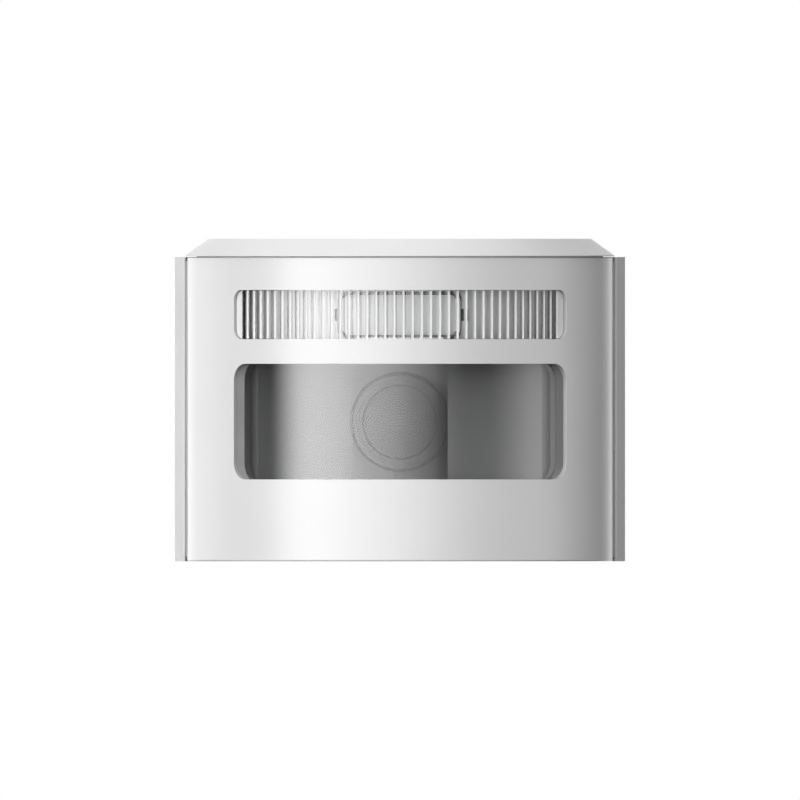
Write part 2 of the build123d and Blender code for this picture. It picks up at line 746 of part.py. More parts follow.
def lens_retainer():
    """Threaded ring that holds the objective from below."""
    with BuildPart() as ring:
        add(tube(LENS_SEAT_R - 0.2, LENS_CLEAR_R, 61.6, 63.2))
        with Locations((0, SCAN_Y, 61.6)):
            Box(1.2, 2 * LENS_SEAT_R + 1, 1.0, mode=Mode.SUBTRACT)
    return ring


def objective_lens():
    """Plano-convex objective, its curved side down."""
    radius = LENS_SEAT_R - 0.1
    bulge = 1.4
    low = 63.3
    sphere_r = (radius**2 + bulge**2) / (2 * bulge)
    with BuildPart() as lens:
        add(rod((*AXIS, low), radius, 67.1 - low, (0, 0, 1)))
        with Locations((*AXIS, low + sphere_r)):
            Sphere(sphere_r, mode=Mode.INTERSECT)
    return lens


def splitter_block():
    """Block above the lens tube, with a bore up to the detector and one across for the laser."""
    half = (-BLOCK_HALF, BLOCK_HALF)
    with BuildPart() as block:
        add(box_between(half, (SCAN_Y - BLOCK_HALF, SCAN_Y + BLOCK_HALF), BLOCK_Z))
        fillet(block.edges().filter_by(Axis.Z), 2.0)
        add(rod((*AXIS, BLOCK_Z[0] - 1), 7.0, 20, (0, 0, 1)), mode=Mode.SUBTRACT)
        add(rod((0, SCAN_Y, BEAM_Z), 4.5, 20, (1, 0, 0)), mode=Mode.SUBTRACT)
    return block


def beam_splitter():
    """Coated plate at 45 degrees where the two bores cross."""
    tilted = Plane((0, SCAN_Y, BEAM_Z), x_dir=(0, 1, 0), z_dir=(1, 0, 1))
    with BuildPart() as plate:
        with BuildSketch(tilted):
            Rectangle(8.0, 11.0)
        extrude(amount=0.5, both=True)
        add(rod((*AXIS, 70), 6.9, 20, (0, 0, 1)), mode=Mode.INTERSECT)
    return plate


def laser_holder():
    """Brass barrel that focuses the laser diode, screwed into the block's side."""
    with BuildPart() as barrel:
        add(rod((7.5, SCAN_Y, BEAM_Z), 4.45, 12.0, (1, 0, 0)))
        add(rod((12.2, SCAN_Y, BEAM_Z), 6.0, 2.0, (1, 0, 0)))
        add(rod((7.0, SCAN_Y, BEAM_Z), 2.9, 14.0, (1, 0, 0)), mode=Mode.SUBTRACT)
    return barrel


def laser_diode():
    """Metal can laser diode at the end of its barrel."""
    with BuildPart() as diode:
        add(rod((16.0, SCAN_Y, BEAM_Z), 2.35, 3.6, (1, 0, 0)))
        add(rod((19.55, SCAN_Y, BEAM_Z), 2.8, 1.2, (1, 0, 0)))
    return diode


def laser_board():
    """Driver board behind the laser diode."""
    with BuildPart() as board:
        add(box_between((20.8, 22.4), (SCAN_Y - 9, SCAN_Y + 9), (70.0, 86.0)))
        add(box_between((22.4, 24.2), (SCAN_Y - 5, SCAN_Y - 1), (73.0, 77.0)))
        add(box_between((22.4, 23.6), (SCAN_Y + 2, SCAN_Y + 7), (79.0, 83.0)))
    return board


def photodiode():
    """Metal can detector, looking down through the block."""
    with BuildPart() as diode:
        add(rod((*AXIS, 83.5), 4.1, 1.9, (0, 0, 1)))
        add(rod((*AXIS, 85.2), 4.6, 0.8, (0, 0, 1)))
    return diode


def detector_board():
    """Amplifier board on top of the block."""
    with BuildPart() as board:
        add(box_between((-17, 17), (SCAN_Y - 14, SCAN_Y + 14), (BLOCK_Z[1], BLOCK_Z[1] + BOARD_T)))
        corners = board.edges().filter_by(Axis.Z)
        fillet(corners, 1.5)
    return board


def detector_shield():
    """Tinned steel can over the amplifier."""
    low = BLOCK_Z[1] + BOARD_T
    height = 4.2
    with BuildPart() as can:
        add(box_between((-9, 13), (SCAN_Y - 11, SCAN_Y + 11), (low, low + height)))
        fillet(can.edges().filter_by(Axis.Z), 1.0)
        fillet(can.faces().sort_by(Axis.Z)[-1].edges(), 0.5)
        hollow = box_between((-8.7, 12.7), (SCAN_Y - 10.7, SCAN_Y + 10.7), (low - 1, low + height - 0.3))
        add(hollow, mode=Mode.SUBTRACT)
    return can


# ---------------------------------------------------------------- light bar
BOX_HALF = 17.7
BOX_Z = (67.4, 80.8)
BOX_MID = (BOX_Z[0] + BOX_Z[1]) / 2
BOX_Y = (-37.6, -31.0)
BOX_WALL = 1.0
STRIP_R = (56.0, 57.2)
PLATE_Z = (SHELF_HIGH[1], 67.3)
CLIP_H = 3.6


def light_bracket():
    """Bent plate from the optics shelf to the light bar, with two posts for the cap screws."""
    with BuildPart() as bracket:
        add(box_between((-13, 13), (-36.6, 12), PLATE_Z))
        add(box_between((-28, 28), (-14, -4), PLATE_Z))
        add(rod((*AXIS, 60), 18.0, 20, (0, 0, 1)), mode=Mode.SUBTRACT)
        add(box_between((-13, 13), (BOX_Y[1] + 0.1, BOX_Y[1] + 1.0), (PLATE_Z[0], 79.0)))
        for x, y in FRONT_POSTS:
            add(rod((x, y, PLATE_Z[0]), 3.8, CAP_Z - PLATE_Z[0], (0, 0, 1)))
            add(rod((x, y, 80), 1.6, 20, (0, 0, 1)), mode=Mode.SUBTRACT)
    return bracket


def light_reflector():
    """Curved white backing strip behind the ribbed lens, open round the lamp tray and its two clips."""
    room = 0.4
    slot = BOX_HALF + 2.0
    with BuildPart() as strip:
        add(window_block(*STRIP_R, 53.0, 65.0, 83.4, 2.0))
        with BuildSketch(Plane.XZ.offset(20)):
            with Locations((0, BOX_MID)):
                RectangleRounded(2 * (BOX_HALF + room), BOX_Z[1] - BOX_Z[0] + 2 * room, 3.0)
                Rectangle(2 * slot, CLIP_H)
        extrude(amount=30, mode=Mode.SUBTRACT)
        add(box_between((-13.4, 13.4), (-40, -30), (PLATE_Z[0] - 0.3, BOX_MID)), mode=Mode.SUBTRACT)
    return strip


def light_box():
    """White lamp tray with rounded corners in the middle of the light bar."""
    height = BOX_Z[1] - BOX_Z[0]
    with BuildPart() as tray:
        with BuildSketch(Plane.XZ.offset(-BOX_Y[1])):
            with Locations((0, BOX_MID)):
                RectangleRounded(2 * BOX_HALF, height, 3.0)
        extrude(amount=BOX_Y[1] - BOX_Y[0])
        with BuildSketch(Plane.XZ.offset(BOX_WALL - BOX_Y[1])):
            with Locations((0, BOX_MID)):
                RectangleRounded(2 * (BOX_HALF - BOX_WALL), height - 2 * BOX_WALL, 2.0)
        extrude(amount=20, mode=Mode.SUBTRACT)
    return tray


def lamp_diffuser():
    """Milky plate in the mouth of the lamp tray."""
    room = 0.15
    with BuildPart() as plate:
        with BuildSketch(Plane.XZ.offset(-BOX_Y[0] - 1.4)):
            with Locations((0, BOX_MID)):
                inside = BOX_WALL + room
                RectangleRounded(2 * (BOX_HALF - inside), BOX_Z[1] - BOX_Z[0] - 2 * inside, 1.9)
        extrude(amount=1.0)
    return plate


def led_board():
    """Board inside the tray that carries the lamps."""
    with BuildPart() as board:
        with BuildSketch(Plane.XZ.offset(BOX_WALL - BOX_Y[1])):
            with Locations((0, BOX_MID)):
                RectangleRounded(2 * BOX_HALF - 2.4, BOX_Z[1] - BOX_Z[0] - 2.4, 1.8)
        extrude(amount=1.0)
    return board


def leds():
    """Eight surface-mounted lamps in two rows."""
    with BuildPart() as lamps:
        with BuildSketch(Plane.XZ.offset(BOX_WALL + 1.0 - BOX_Y[1])):
            with Locations((0, BOX_MID)):
                with GridLocations(8.0, 5.6, 4, 2):
                    Rectangle(3.5, 2.8)
        extrude(amount=1.0)
    return lamps


# ---------------------------------------------------------------- electronics below the chamber
def main_board():
    """Controller board on the base plate, cut out round the motor shelf."""
    with BuildPart() as board:
        add(rod((*AXIS, MAIN_BOARD_Z), MAIN_BOARD_R, BOARD_T, (0, 0, 1)))
        add(box_between((-70, 70), (19.2, 90), (0, 20)), mode=Mode.SUBTRACT)
        add(box_between((-23.4, 23.4), (-1.5, 90), (0, 20)), mode=Mode.SUBTRACT)
        for x, y in (*BOARD_SCREWS, *BOARD_POSTS):
            add(rod((x, y, 0), 1.6, 20, (0, 0, 1)), mode=Mode.SUBTRACT)
    return board


def board_chips():
    """Processor, memory, regulators, capacitor cans and coils on the controller board."""
    top = MAIN_BOARD_Z + BOARD_T
    chips = (
        (0, -20, 14, 14, 1.4),
        (-18, -21, 9, 11, 1.1),
        (17, -22, 8, 8, 1.1),
        (-31, -10, 7, 5, 1.6),
        (31, -8, 7, 5, 1.6),
        (-45, 4, 6, 6, 1.2),
        (-29, 2, 7, 7, 4.0),
        (-29, 12, 7, 7, 4.0),
        (31, 3, 7, 7, 4.0),
    )
    with BuildPart() as parts:
        for x, y, width, depth, height in chips:
            with Locations((x, y, top)):
                Box(width, depth, height, align=(Align.CENTER, Align.CENTER, Align.MIN))
        for x, y in ((-40, -5), (-48, -6), (42, -5)):
            add(rod((x, y, top), 3.2, 7.5, (0, 0, 1)))
    return parts


def heat_sink():
    """Finned aluminium block on the processor."""
    low = MAIN_BOARD_Z + BOARD_T + 1.4
    with BuildPart() as sink:
        with Locations((0, -20, low)):
            Box(16, 16, 8, align=(Align.CENTER, Align.CENTER, Align.MIN))
        with Locations(*[(x, -20, low + 2) for x in (-5.6, -2.8, 0, 2.8, 5.6)]):
            Box(1.5, 18, 8, align=(Align.CENTER, Align.CENTER, Align.MIN), mode=Mode.SUBTRACT)
    return sink


def board_connectors():
    """Sockets for the flat cables on the controller board."""
    top = MAIN_BOARD_Z + BOARD_T
    with BuildPart() as sockets:
        add(box_between((-41.5, -36.5), (5, 17), (top, top + 2.4)))
        add(box_between((-6, 6), (-8.6, -4.6), (top, top + 1.6)))
        add(box_between((46.0, 50.0), (2, 10), (top, top + 2.4)))
    return sockets


def interface_board():
    """Upright board behind the bay, with the header that joins it to the controller board."""
    top = MAIN_BOARD_Z + BOARD_T
    with BuildPart() as board:
        add(box_between((26, 50), (13.0, 14.4), (top + 1.8, 32)))
        add(box_between((28, 44), (12.0, 15.4), (top, top + 1.8)))
        add(box_between((44, 48), (14.4, 15.6), (22, 27)))
    return board


def reset_switch():
    """Tactile switch behind the reset button."""
    with BuildPart() as switch:
        with Locations((BUTTON_X, 14.4, BUTTON_Z)):
            Box(6, 3.4, 6, align=(Align.CENTER, Align.MIN, Align.CENTER))
        add(rod((BUTTON_X, 17.8, BUTTON_Z), 1.6, 1.0, (0, 1, 0)))
    return switch


def reset_button():
    """Push button in the bay's wall, kept in by a collar behind the wall."""
    low = 19.8
    with BuildPart() as button:
        add(rod((BUTTON_X, low, BUTTON_Z), BUTTON_R, BAY_Y + 1.6 - low, (0, 1, 0)))
        fillet(button.edges().group_by(Axis.Y)[-1], 0.5)
        add(rod((BUTTON_X, low + 0.6, BUTTON_Z), BUTTON_R + 0.8, 1.4, (0, 1, 0)))
    return button


def plug_shell():
    """Metal shell of the cable connector: a flange behind the wall and the thread for the cable's nut."""
    neck_end = BAY_Y + 2.6
    with BuildPart() as shell:
        add(rod((PLUG_X, BAY_Y - BAY_WALL - 2.4, PLUG_Z), 8.2, 2.3, (0, 1, 0)))
        add(rod((PLUG_X, BAY_Y - BAY_WALL - 1.0, PLUG_Z), PLUG_NECK_R, 6.0, (0, 1, 0)))
        add(rod((PLUG_X, neck_end, PLUG_Z), PLUG_R, 7.5, (0, 1, 0)))
        chamfer(shell.edges().group_by(Axis.Y)[-1].sort_by(SortBy.LENGTH)[-1], 0.5)
        add(rod((PLUG_X, 10, PLUG_Z), 4.7, 40, (0, 1, 0)), mode=Mode.SUBTRACT)
    return shell


def plug_nut():
    """Hexagon nut that clamps the shell to the bay's wall."""
    with BuildPart() as nut:
        with BuildSketch(Plane((PLUG_X, BAY_Y, PLUG_Z), x_dir=(1, 0, 0), z_dir=(0, 1, 0))):
            RegularPolygon(7.6, 6, major_radius=False)
            Circle(PLUG_NECK_R + 0.03, mode=Mode.SUBTRACT)
        extrude(amount=2.4)
    return nut


def plug_insert():
    """Insulator of the connector."""
    with BuildPart() as insert:
        add(rod((PLUG_X, 17.0, PLUG_Z), 4.65, 9.0, (0, 1, 0)))
        with Locations(Pos(PLUG_X, 26.0, PLUG_Z) * Rot(90, 0, 0)):
            with PolarLocations(2.4, 4, start_angle=45):
                Cylinder(0.55, 30, mode=Mode.SUBTRACT)
    return insert


def plug_pins():
    """Four gold pins, soldered to the interface board."""
    with BuildPart() as pins:
        with Locations(Pos(PLUG_X, 14.4, PLUG_Z) * Rot(-90, 0, 0)):
            with PolarLocations(2.4, 4, start_angle=45):
                Cylinder(0.5, 16.5, align=(Align.CENTER, Align.CENTER, Align.MIN))
    return pins


def vent_plug():
    """Breather that lets the housing equalise pressure, pressed into the back wall."""
    with BuildPart() as vent:
        add(rod((VENT_X, BACK_Y - 0.2, VENT_Z), VENT_R, 5.0, (0, -1, 0)))
        add(rod((VENT_X, BACK_IN, VENT_Z), VENT_R + 1.4, 1.2, (0, -1, 0)))
        add(rod((VENT_X, 30, VENT_Z), 1.6, 14.3, (0, 1, 0)), mode=Mode.SUBTRACT)
    return vent


PIECES = {
    "front_cover": front_cover,
    "window_gasket": window_gasket,
    "window_bezel": window_bezel,
    "scan_window": scan_window,
    "light_lens": light_lens,
    "rear_housing": rear_housing,
    "top_cap": top_cap,
    "cap_seal": lambda: rim_seal(CAP_Z - 2.8),
    "base_seal": lambda: rim_seal(PLATE_T + 1.0),
    "base_plate": base_plate,
    "mount_inserts": mount_inserts,
    "cover_screws": cover_screws,
    "cap_screws": cap_screws,
    "base_screws": base_screws,
    "frame_screws": frame_screws,
    "optics_frame": optics_frame,
    "scan_chamber": scan_chamber,
    "bearing_tube": bearing_tube,
    "bearing_lower": lambda: ball_bearing(5.2),
    "bearing_upper": lambda: ball_bearing(12.3),
    "motor_board": motor_board,
    "stator_core": stator_core,
    "stator_coils": stator_coils,
    "motor_shaft": motor_shaft,
    "rotor_bell": rotor_bell,
    "magnet_ring": magnet_ring,
    "encoder_disc": encoder_disc,
    "encoder_sensor": encoder_sensor,
    "mirror_holder": mirror_holder,
    "scan_mirror": scan_mirror,
    "hub_screws": hub_screws,
    "lens_tube": lens_tube,
    "lens_retainer": lens_retainer,
    "objective_lens": objective_lens,
    "splitter_block": splitter_block,
    "beam_splitter": beam_splitter,
    "laser_holder": laser_holder,
    "laser_diode": laser_diode,
    "laser_board": laser_board,
    "photodiode": photodiode,
    "detector_board": detector_board,
    "detector_shield": detector_shield,
    "light_bracket": light_bracket,
    "light_reflector": light_reflector,
    "light_box": light_box,
    "lamp_diffuser": lamp_diffuser,
    "led_board": led_board,
    "leds": leds,
    "main_board": main_board,
    "board_chips": board_chips,
    "heat_sink": heat_sink,
    "board_connectors": board_connectors,
    "interface_board": interface_board,
    "reset_switch": reset_switch,
    "reset_button": reset_button,
    "plug_shell": plug_shell,
    "plug_nut": plug_nut,
    "plug_insert": plug_insert,
    "plug_pins": plug_pins,
    "vent_plug": vent_plug,
}

os.makedirs("parts", exist_ok=True)
for node, make in PIECES.items():
    piece = make()
    piece.part.label = node
    export_step(piece.part, f"parts/{node}.step")
    print(node, round(piece.part.volume), len(piece.part.solids()))
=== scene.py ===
"""Looks of the half-round scanner module: studio, materials and the small pieces that the CAD leaves out."""

import json
import math
import random

import bmesh
import bpy
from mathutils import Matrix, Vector


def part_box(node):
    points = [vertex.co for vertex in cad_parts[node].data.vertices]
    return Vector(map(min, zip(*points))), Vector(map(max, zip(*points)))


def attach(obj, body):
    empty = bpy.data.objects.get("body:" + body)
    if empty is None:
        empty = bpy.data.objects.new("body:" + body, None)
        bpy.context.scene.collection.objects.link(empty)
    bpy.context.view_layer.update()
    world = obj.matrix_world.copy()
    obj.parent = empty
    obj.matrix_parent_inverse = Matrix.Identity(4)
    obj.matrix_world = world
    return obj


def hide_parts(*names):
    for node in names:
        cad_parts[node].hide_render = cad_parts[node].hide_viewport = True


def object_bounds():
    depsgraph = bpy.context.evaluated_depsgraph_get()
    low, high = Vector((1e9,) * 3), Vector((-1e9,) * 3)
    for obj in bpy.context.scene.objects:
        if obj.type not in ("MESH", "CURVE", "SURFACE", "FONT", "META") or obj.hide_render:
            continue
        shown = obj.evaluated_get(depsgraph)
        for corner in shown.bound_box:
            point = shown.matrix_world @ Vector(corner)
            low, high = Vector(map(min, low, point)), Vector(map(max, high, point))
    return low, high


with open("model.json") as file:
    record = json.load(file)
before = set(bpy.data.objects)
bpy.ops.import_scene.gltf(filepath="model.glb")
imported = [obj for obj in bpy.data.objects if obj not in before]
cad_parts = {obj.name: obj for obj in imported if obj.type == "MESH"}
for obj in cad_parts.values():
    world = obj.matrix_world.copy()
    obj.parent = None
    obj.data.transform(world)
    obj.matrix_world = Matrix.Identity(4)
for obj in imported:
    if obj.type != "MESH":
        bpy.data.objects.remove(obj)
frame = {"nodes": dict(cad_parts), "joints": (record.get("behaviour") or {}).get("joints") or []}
cad_box = [list(corner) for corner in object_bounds()]
nodes = frame["nodes"]

MM = 0.001


def low_corner(node):
    """Lowest corner of a CAD node's box."""
    return Vector(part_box(node)[0])


def high_corner(node):
    """Highest corner of a CAD node's box."""
    return Vector(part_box(node)[1])


def middle_of(node):
    """Middle of a CAD node's box."""
    return (low_corner(node) + high_corner(node)) / 2


SCAN_AXIS = Vector(next(joint["pos_m"] for joint in frame["joints"] if joint["name"] == "mirror_spin"))


# ---------------------------------------------------------------- node helpers
class Tree:
    """Short names for the shader nodes that the materials use."""

    def __init__(self, material):
        self.nodes = material.node_tree.nodes
        self.links = material.node_tree.links
        self.place = self.nodes.new("ShaderNodeTexCoord").outputs["Object"]

    def put(self, value, socket):
        """Links a socket, or sets a plain value."""
        if isinstance(value, bpy.types.NodeSocket):
            self.links.new(value, socket)
        else:
            socket.default_value = value

    def noise(self, size, detail=3.0, stretch=(1, 1, 1), seed=0.0):
        """Noise whose blobs are about size metres across."""
        mapping = self.nodes.new("ShaderNodeMapping")
        mapping.inputs["Location"].default_value = (seed, seed, seed)
        mapping.inputs["Scale"].default_value = [axis / size for axis in stretch]
        self.links.new(self.place, mapping.inputs["Vector"])
        node = self.nodes.new("ShaderNodeTexNoise")
        node.inputs["Scale"].default_value = 1.0
        node.inputs["Detail"].default_value = detail
        self.links.new(mapping.outputs["Vector"], node.inputs["Vector"])
        return node.outputs["Fac"]

    def cells(self, size):
        """Voronoi distance, in cells of about size metres."""
        mapping = self.nodes.new("ShaderNodeMapping")
        mapping.inputs["Scale"].default_value = [1 / size] * 3
        self.links.new(self.place, mapping.inputs["Vector"])
        node = self.nodes.new("ShaderNodeTexVoronoi")
        node.inputs["Scale"].default_value = 1.0
        self.links.new(mapping.outputs["Vector"], node.inputs["Vector"])
        return node.outputs["Distance"]

    def math(self, operation, first, second=0.5):
        """Value of a math node with one or two inputs."""
        node = self.nodes.new("ShaderNodeMath")
        node.operation = operation
        self.put(first, node.inputs[0])
        self.put(second, node.inputs[1])
        return node.outputs["Value"]

    def scale(self, value, low, high, from_low=0.0, from_high=1.0):
        """Maps a value to another range."""
        node = self.nodes.new("ShaderNodeMapRange")
        self.put(value, node.inputs["Value"])
        node.inputs["From Min"].default_value = from_low
        node.inputs["From Max"].default_value = from_high
        node.inputs["To Min"].default_value = low
        node.inputs["To Max"].default_value = high
        return node.outputs["Result"]

    def mix(self, factor, first, second):
        """Colour between two colours."""
        node = self.nodes.new("ShaderNodeMix")
        node.data_type = "RGBA"
        self.put(factor, node.inputs["Factor"])
        self.put(first, node.inputs["A"])
        self.put(second, node.inputs["B"])
        return node.outputs["Result"]

    def bump(self, height, depth):
        """Normal from a height that runs from 0 to 1 over depth metres."""
        node = self.nodes.new("ShaderNodeBump")
        node.inputs["Strength"].default_value = 1.0
        node.inputs["Distance"].default_value = depth
        self.links.new(height, node.inputs["Height"])
        return node.outputs["Normal"]

    def from_axis(self):
        """Distance from the scanner's upright axis."""
        flat = self.nodes.new("ShaderNodeVectorMath")
        flat.operation = "MULTIPLY_ADD"
        self.links.new(self.place, flat.inputs[0])
        flat.inputs[1].default_value = (1.0, 1.0, 0.0)
        flat.inputs[2].default_value = (-SCAN_AXIS.x, -SCAN_AXIS.y, 0.0)
        reach = self.nodes.new("ShaderNodeVectorMath")
        reach.operation = "LENGTH"
        self.links.new(flat.outputs["Vector"], reach.inputs[0])
        return reach.outputs["Value"]

    def round_axis(self):
        """Turn round the scanner's axis away from straight ahead, in radians, the same on both sides."""
        place = self.separate(self.place)
        ahead = self.math("SUBTRACT", SCAN_AXIS.y, place["Y"])
        return self.math("ARCTAN2", self.math("ABSOLUTE", place["X"]), ahead)

    def ring(self, centre, radius, width):
        """1 on a ring about a level line along Y, 0 off it."""
        place = self.separate(self.place)
        up = self.math("SUBTRACT", place["Z"], centre.z)
        squares = self.math("ADD", self.math("POWER", place["X"], 2.0), self.math("POWER", up, 2.0))
        off = self.math("SQRT", squares)
        gap = self.math("ABSOLUTE", self.math("SUBTRACT", off, radius))
        return self.scale(gap, 1.0, 0.0, 0.4 * width, 0.6 * width)

    def separate(self, vector):
        """Outputs X, Y and Z of a vector."""
        node = self.nodes.new("ShaderNodeSeparateXYZ")
        self.links.new(vector, node.inputs["Vector"])
        return node.outputs


def rgb(value, second=None, third=None):
    """Opaque colour from one grey value or from three."""
    if second is None:
        return (value, value, value, 1.0)
    return (value, second, third, 1.0)


def shade(colour, factor):
    """Darker or lighter version of a colour."""
    return (colour[0] * factor, colour[1] * factor, colour[2] * factor, 1.0)


def new_material(name, **sockets):
    """Principled material; underscores in socket names stand for spaces."""
    material = bpy.data.materials.new(name)
    material.use_nodes = True
    shader = material.node_tree.nodes["Principled BSDF"]
    for socket, value in sockets.items():
        shader.inputs[socket.replace("_", " ")].default_value = value
    return material, Tree(material), shader.inputs


# ---------------------------------------------------------------- material recipes
DUST = rgb(0.62, 0.6, 0.57)


def plastic(name, colour, roughness, grain=0.0004, depth=0.000012, dust=0.0, smears=0.13, **sockets):
    """Moulded plastic: fine grain, slow colour drift, smudged gloss and a little dust on what faces up."""
    material, tree, inputs = new_material(name, **sockets)
    drift = tree.noise(0.03, 2.0)
    fine = tree.noise(grain, 2.0, seed=3.0)
    smudge = tree.noise(0.012, 4.0, seed=7.0)
    tone = tree.mix(tree.scale(drift, 0.0, 1.0, 0.3, 0.7), shade(colour, 0.965), colour)
    tone = tree.mix(tree.scale(fine, 0.0, 0.06, 0.35, 0.65), tone, shade(colour, 0.7))
    if dust:
        facing = tree.separate(tree.nodes.new("ShaderNodeNewGeometry").outputs["Normal"])["Z"]
        settled = tree.math("MULTIPLY", tree.scale(facing, 0.0, dust, 0.6, 1.0), tree.noise(0.004, 5.0))
        tone = tree.mix(settled, tone, DUST)
    tree.put(tone, inputs["Base Color"])
    gloss = tree.scale(smudge, roughness * (1 - smears), roughness * (1 + smears), 0.3, 0.7)
    tree.put(gloss, inputs["Roughness"])
    tree.put(tree.bump(fine, depth), inputs["Normal"])
    return material


def metal(name, colour, roughness, brush=(1, 1, 1), depth=0.000004):
    """Machined metal: scratches along one direction, patchy gloss."""
    material, tree, inputs = new_material(name, Metallic=1.0)
    lines = tree.noise(0.0009, 3.0, stretch=brush)
    patch = tree.noise(0.006, 3.0, seed=5.0)
    tone = tree.mix(tree.scale(lines, 0.0, 1.0, 0.3, 0.7), shade(colour, 0.86), colour)
    tone = tree.mix(tree.scale(patch, 0.0, 0.35, 0.4, 0.75), tone, shade(colour, 0.72))
    tree.put(tone, inputs["Base Color"])
    tree.put(tree.scale(patch, roughness * 0.8, roughness * 1.25, 0.3, 0.7), inputs["Roughness"])
    tree.put(tree.bump(lines, depth), inputs["Normal"])
    return material


def turned(name, colour, roughness):
    """Metal with the lines of a lathe."""
    return metal(name, colour, roughness, brush=(0.3, 0.3, 4))


def coated_glass(name, tint, ior, smear=0.02):
    """Clear or tinted glass with faint smears in its gloss."""
    material, tree, inputs = new_material(name, Transmission_Weight=1.0, IOR=ior)
    smudge = tree.noise(0.01, 4.0, stretch=(1, 1, 2.2))
    tree.put(tree.mix(tree.scale(smudge, 0.0, 0.3, 0.45, 0.8), tint, shade(tint, 0.94)), inputs["Base Color"])
    tree.put(tree.scale(smudge, 0.0, smear, 0.4, 0.8), inputs["Roughness"])
    return material


# Rings round the mirror's line of sight: radius, width, added roughness.
MATT_RINGS = (
    (14.6 * MM, 1.1 * MM, 0.13),
    (12.4 * MM, 0.4 * MM, 0.06),
    (11.1 * MM, 0.6 * MM, 0.12),
)


def tinted_sheet(name, tint, cover, roughness, ior):
    """Smoked sheet that lets straight light through, with matt rings and faint smears in its gloss."""
    material, tree, inputs = new_material(name, Alpha=cover, IOR=ior)
    smudge = tree.noise(0.012, 4.0, stretch=(1, 1, 2.2))
    tree.put(tree.mix(tree.scale(smudge, 0.0, 0.5, 0.45, 0.8), tint, shade(tint, 1.6)), inputs["Base Color"])
    gloss = tree.scale(smudge, roughness, roughness + 0.03, 0.4, 0.8)
    centre = middle_of("scan_mirror")
    for radius, width, matt in MATT_RINGS:
        etched = tree.math("MULTIPLY", tree.ring(centre, radius, width), matt)
        gloss = tree.math("ADD", gloss, etched)
    tree.put(gloss, inputs["Roughness"])
    return material


TRACE_WIDTH = 0.00022
TRACE_RUN = 0.0062
TRACE_PITCH = 0.0011
TRACE_START = (0.0007, 0.0003, 0.0)
VIA_SPACING = 0.0042


def circuit(name, mask, copper):
    """Printed board: traces under the solder mask, and bare metal vias."""
    material, tree, inputs = new_material(name, Coat_Weight=0.5, Coat_Roughness=0.12)
    bricks = tree.nodes.new("ShaderNodeTexBrick")
    bricks.offset = 0.37
    bricks.inputs["Scale"].default_value = 1.0
    bricks.inputs["Mortar Size"].default_value = TRACE_WIDTH
    bricks.inputs["Mortar Smooth"].default_value = 0.2
    bricks.inputs["Brick Width"].default_value = TRACE_RUN
    bricks.inputs["Row Height"].default_value = TRACE_PITCH
    moved = tree.nodes.new("ShaderNodeVectorMath")
    moved.operation = "ADD"
    tree.links.new(tree.place, moved.inputs[0])
    moved.inputs[1].default_value = TRACE_START
    tree.links.new(moved.outputs["Vector"], bricks.inputs["Vector"])
    trace = tree.scale(bricks.outputs["Fac"], 0.0, 1.0, 0.2, 0.9)
    via = tree.scale(tree.cells(VIA_SPACING), 1.0, 0.0, 0.07, 0.1)
    cloud = tree.noise(0.02, 2.0)
    tone = tree.mix(tree.scale(cloud, 0.0, 1.0, 0.3, 0.7), mask, shade(mask, 1.25))
    tone = tree.mix(tree.math("MULTIPLY", trace, 0.55), tone, shade(mask, 2.1))
    tree.put(tree.mix(via, tone, copper), inputs["Base Color"])
    tree.put(tree.scale(via, 0.0, 0.9), inputs["Metallic"])
    tree.put(tree.scale(cloud, 0.3, 0.42), inputs["Roughness"])
    raised = tree.math("ADD", trace, via)
    tree.put(tree.bump(raised, 0.00002), inputs["Normal"])
    return material


def overpaint(material, mask, colour):
    """Lays a colour over a material's own colour, where a mask made from its nodes is 1."""
    tree = Tree(material)
    socket = tree.nodes["Principled BSDF"].inputs["Base Color"]
    under = socket.links[0].from_socket
    tree.put(tree.mix(mask(tree), under, colour), socket)
    return material


def paint(material, *names):
    """Gives carried-over CAD nodes their material."""
    for name in names:
        data = nodes[name].data
        data.materials.clear()
        data.materials.append(material)


# ---------------------------------------------------------------- materials of the CAD nodes
WHITE = rgb(0.8, 0.802, 0.8)
# Darker grey for the cover's cut walls and inner face: painted shade of the recessed walls.
CUT_WALL_SHADE_GREY = rgb(0.46, 0.465, 0.465)
BRASS = rgb(0.72, 0.52, 0.24)
STEEL = rgb(0.6, 0.6, 0.61)
CHAMBER_GREY = rgb(0.026, 0.027, 0.0265)
# Pale grey of the chamber's end lands: painted light standing in for the brightness at the window's ends.
LAND_LIGHT_GREY = rgb(0.62, 0.625, 0.625)

COVER_SKIN = SCAN_AXIS.y - low_corner("front_cover").y - 0.12 * MM
CHAMBER_HALF = 49.0  # degrees either side of straight ahead
REFLECTOR_SHADE_FADE = (28, 44)  # degrees either side of straight ahead, over which painted shade darkens the reflector's ends


def cut_wall_shade_mask(tree):
    """Mask of everything inside the cover's lacquered outer skin: the cut walls and inner face, which get a
    darker grey as painted shade of the recessed walls.
    """
    ragged = tree.math("ADD", tree.from_axis(), tree.scale(tree.noise(0.0008), -0.00003, 0.00003))
    return tree.scale(ragged, 1.0, 0.0, COVER_SKIN - 0.05 * MM, COVER_SKIN + 0.03 * MM)


def end_land_light_mask(tree):
    """Mask of the scan chamber's two end lands, outside the scanned angle, painted pale as painted light for
    the brightness at the window's ends.
    """
    first, last = math.radians(CHAMBER_HALF - 0.2), math.radians(CHAMBER_HALF - 0.1)
    return tree.scale(tree.round_axis(), 0.0, 1.0, first, last)


def reflector_end_shade_mask(tree):
    """Mask that grows towards both ends of the light bar's backing strip, where it is painted darker grey as
    painted shade.
    """
    first, last = REFLECTOR_SHADE_FADE
    return tree.scale(tree.round_axis(), 0.0, 1.0, math.radians(first), math.radians(last))


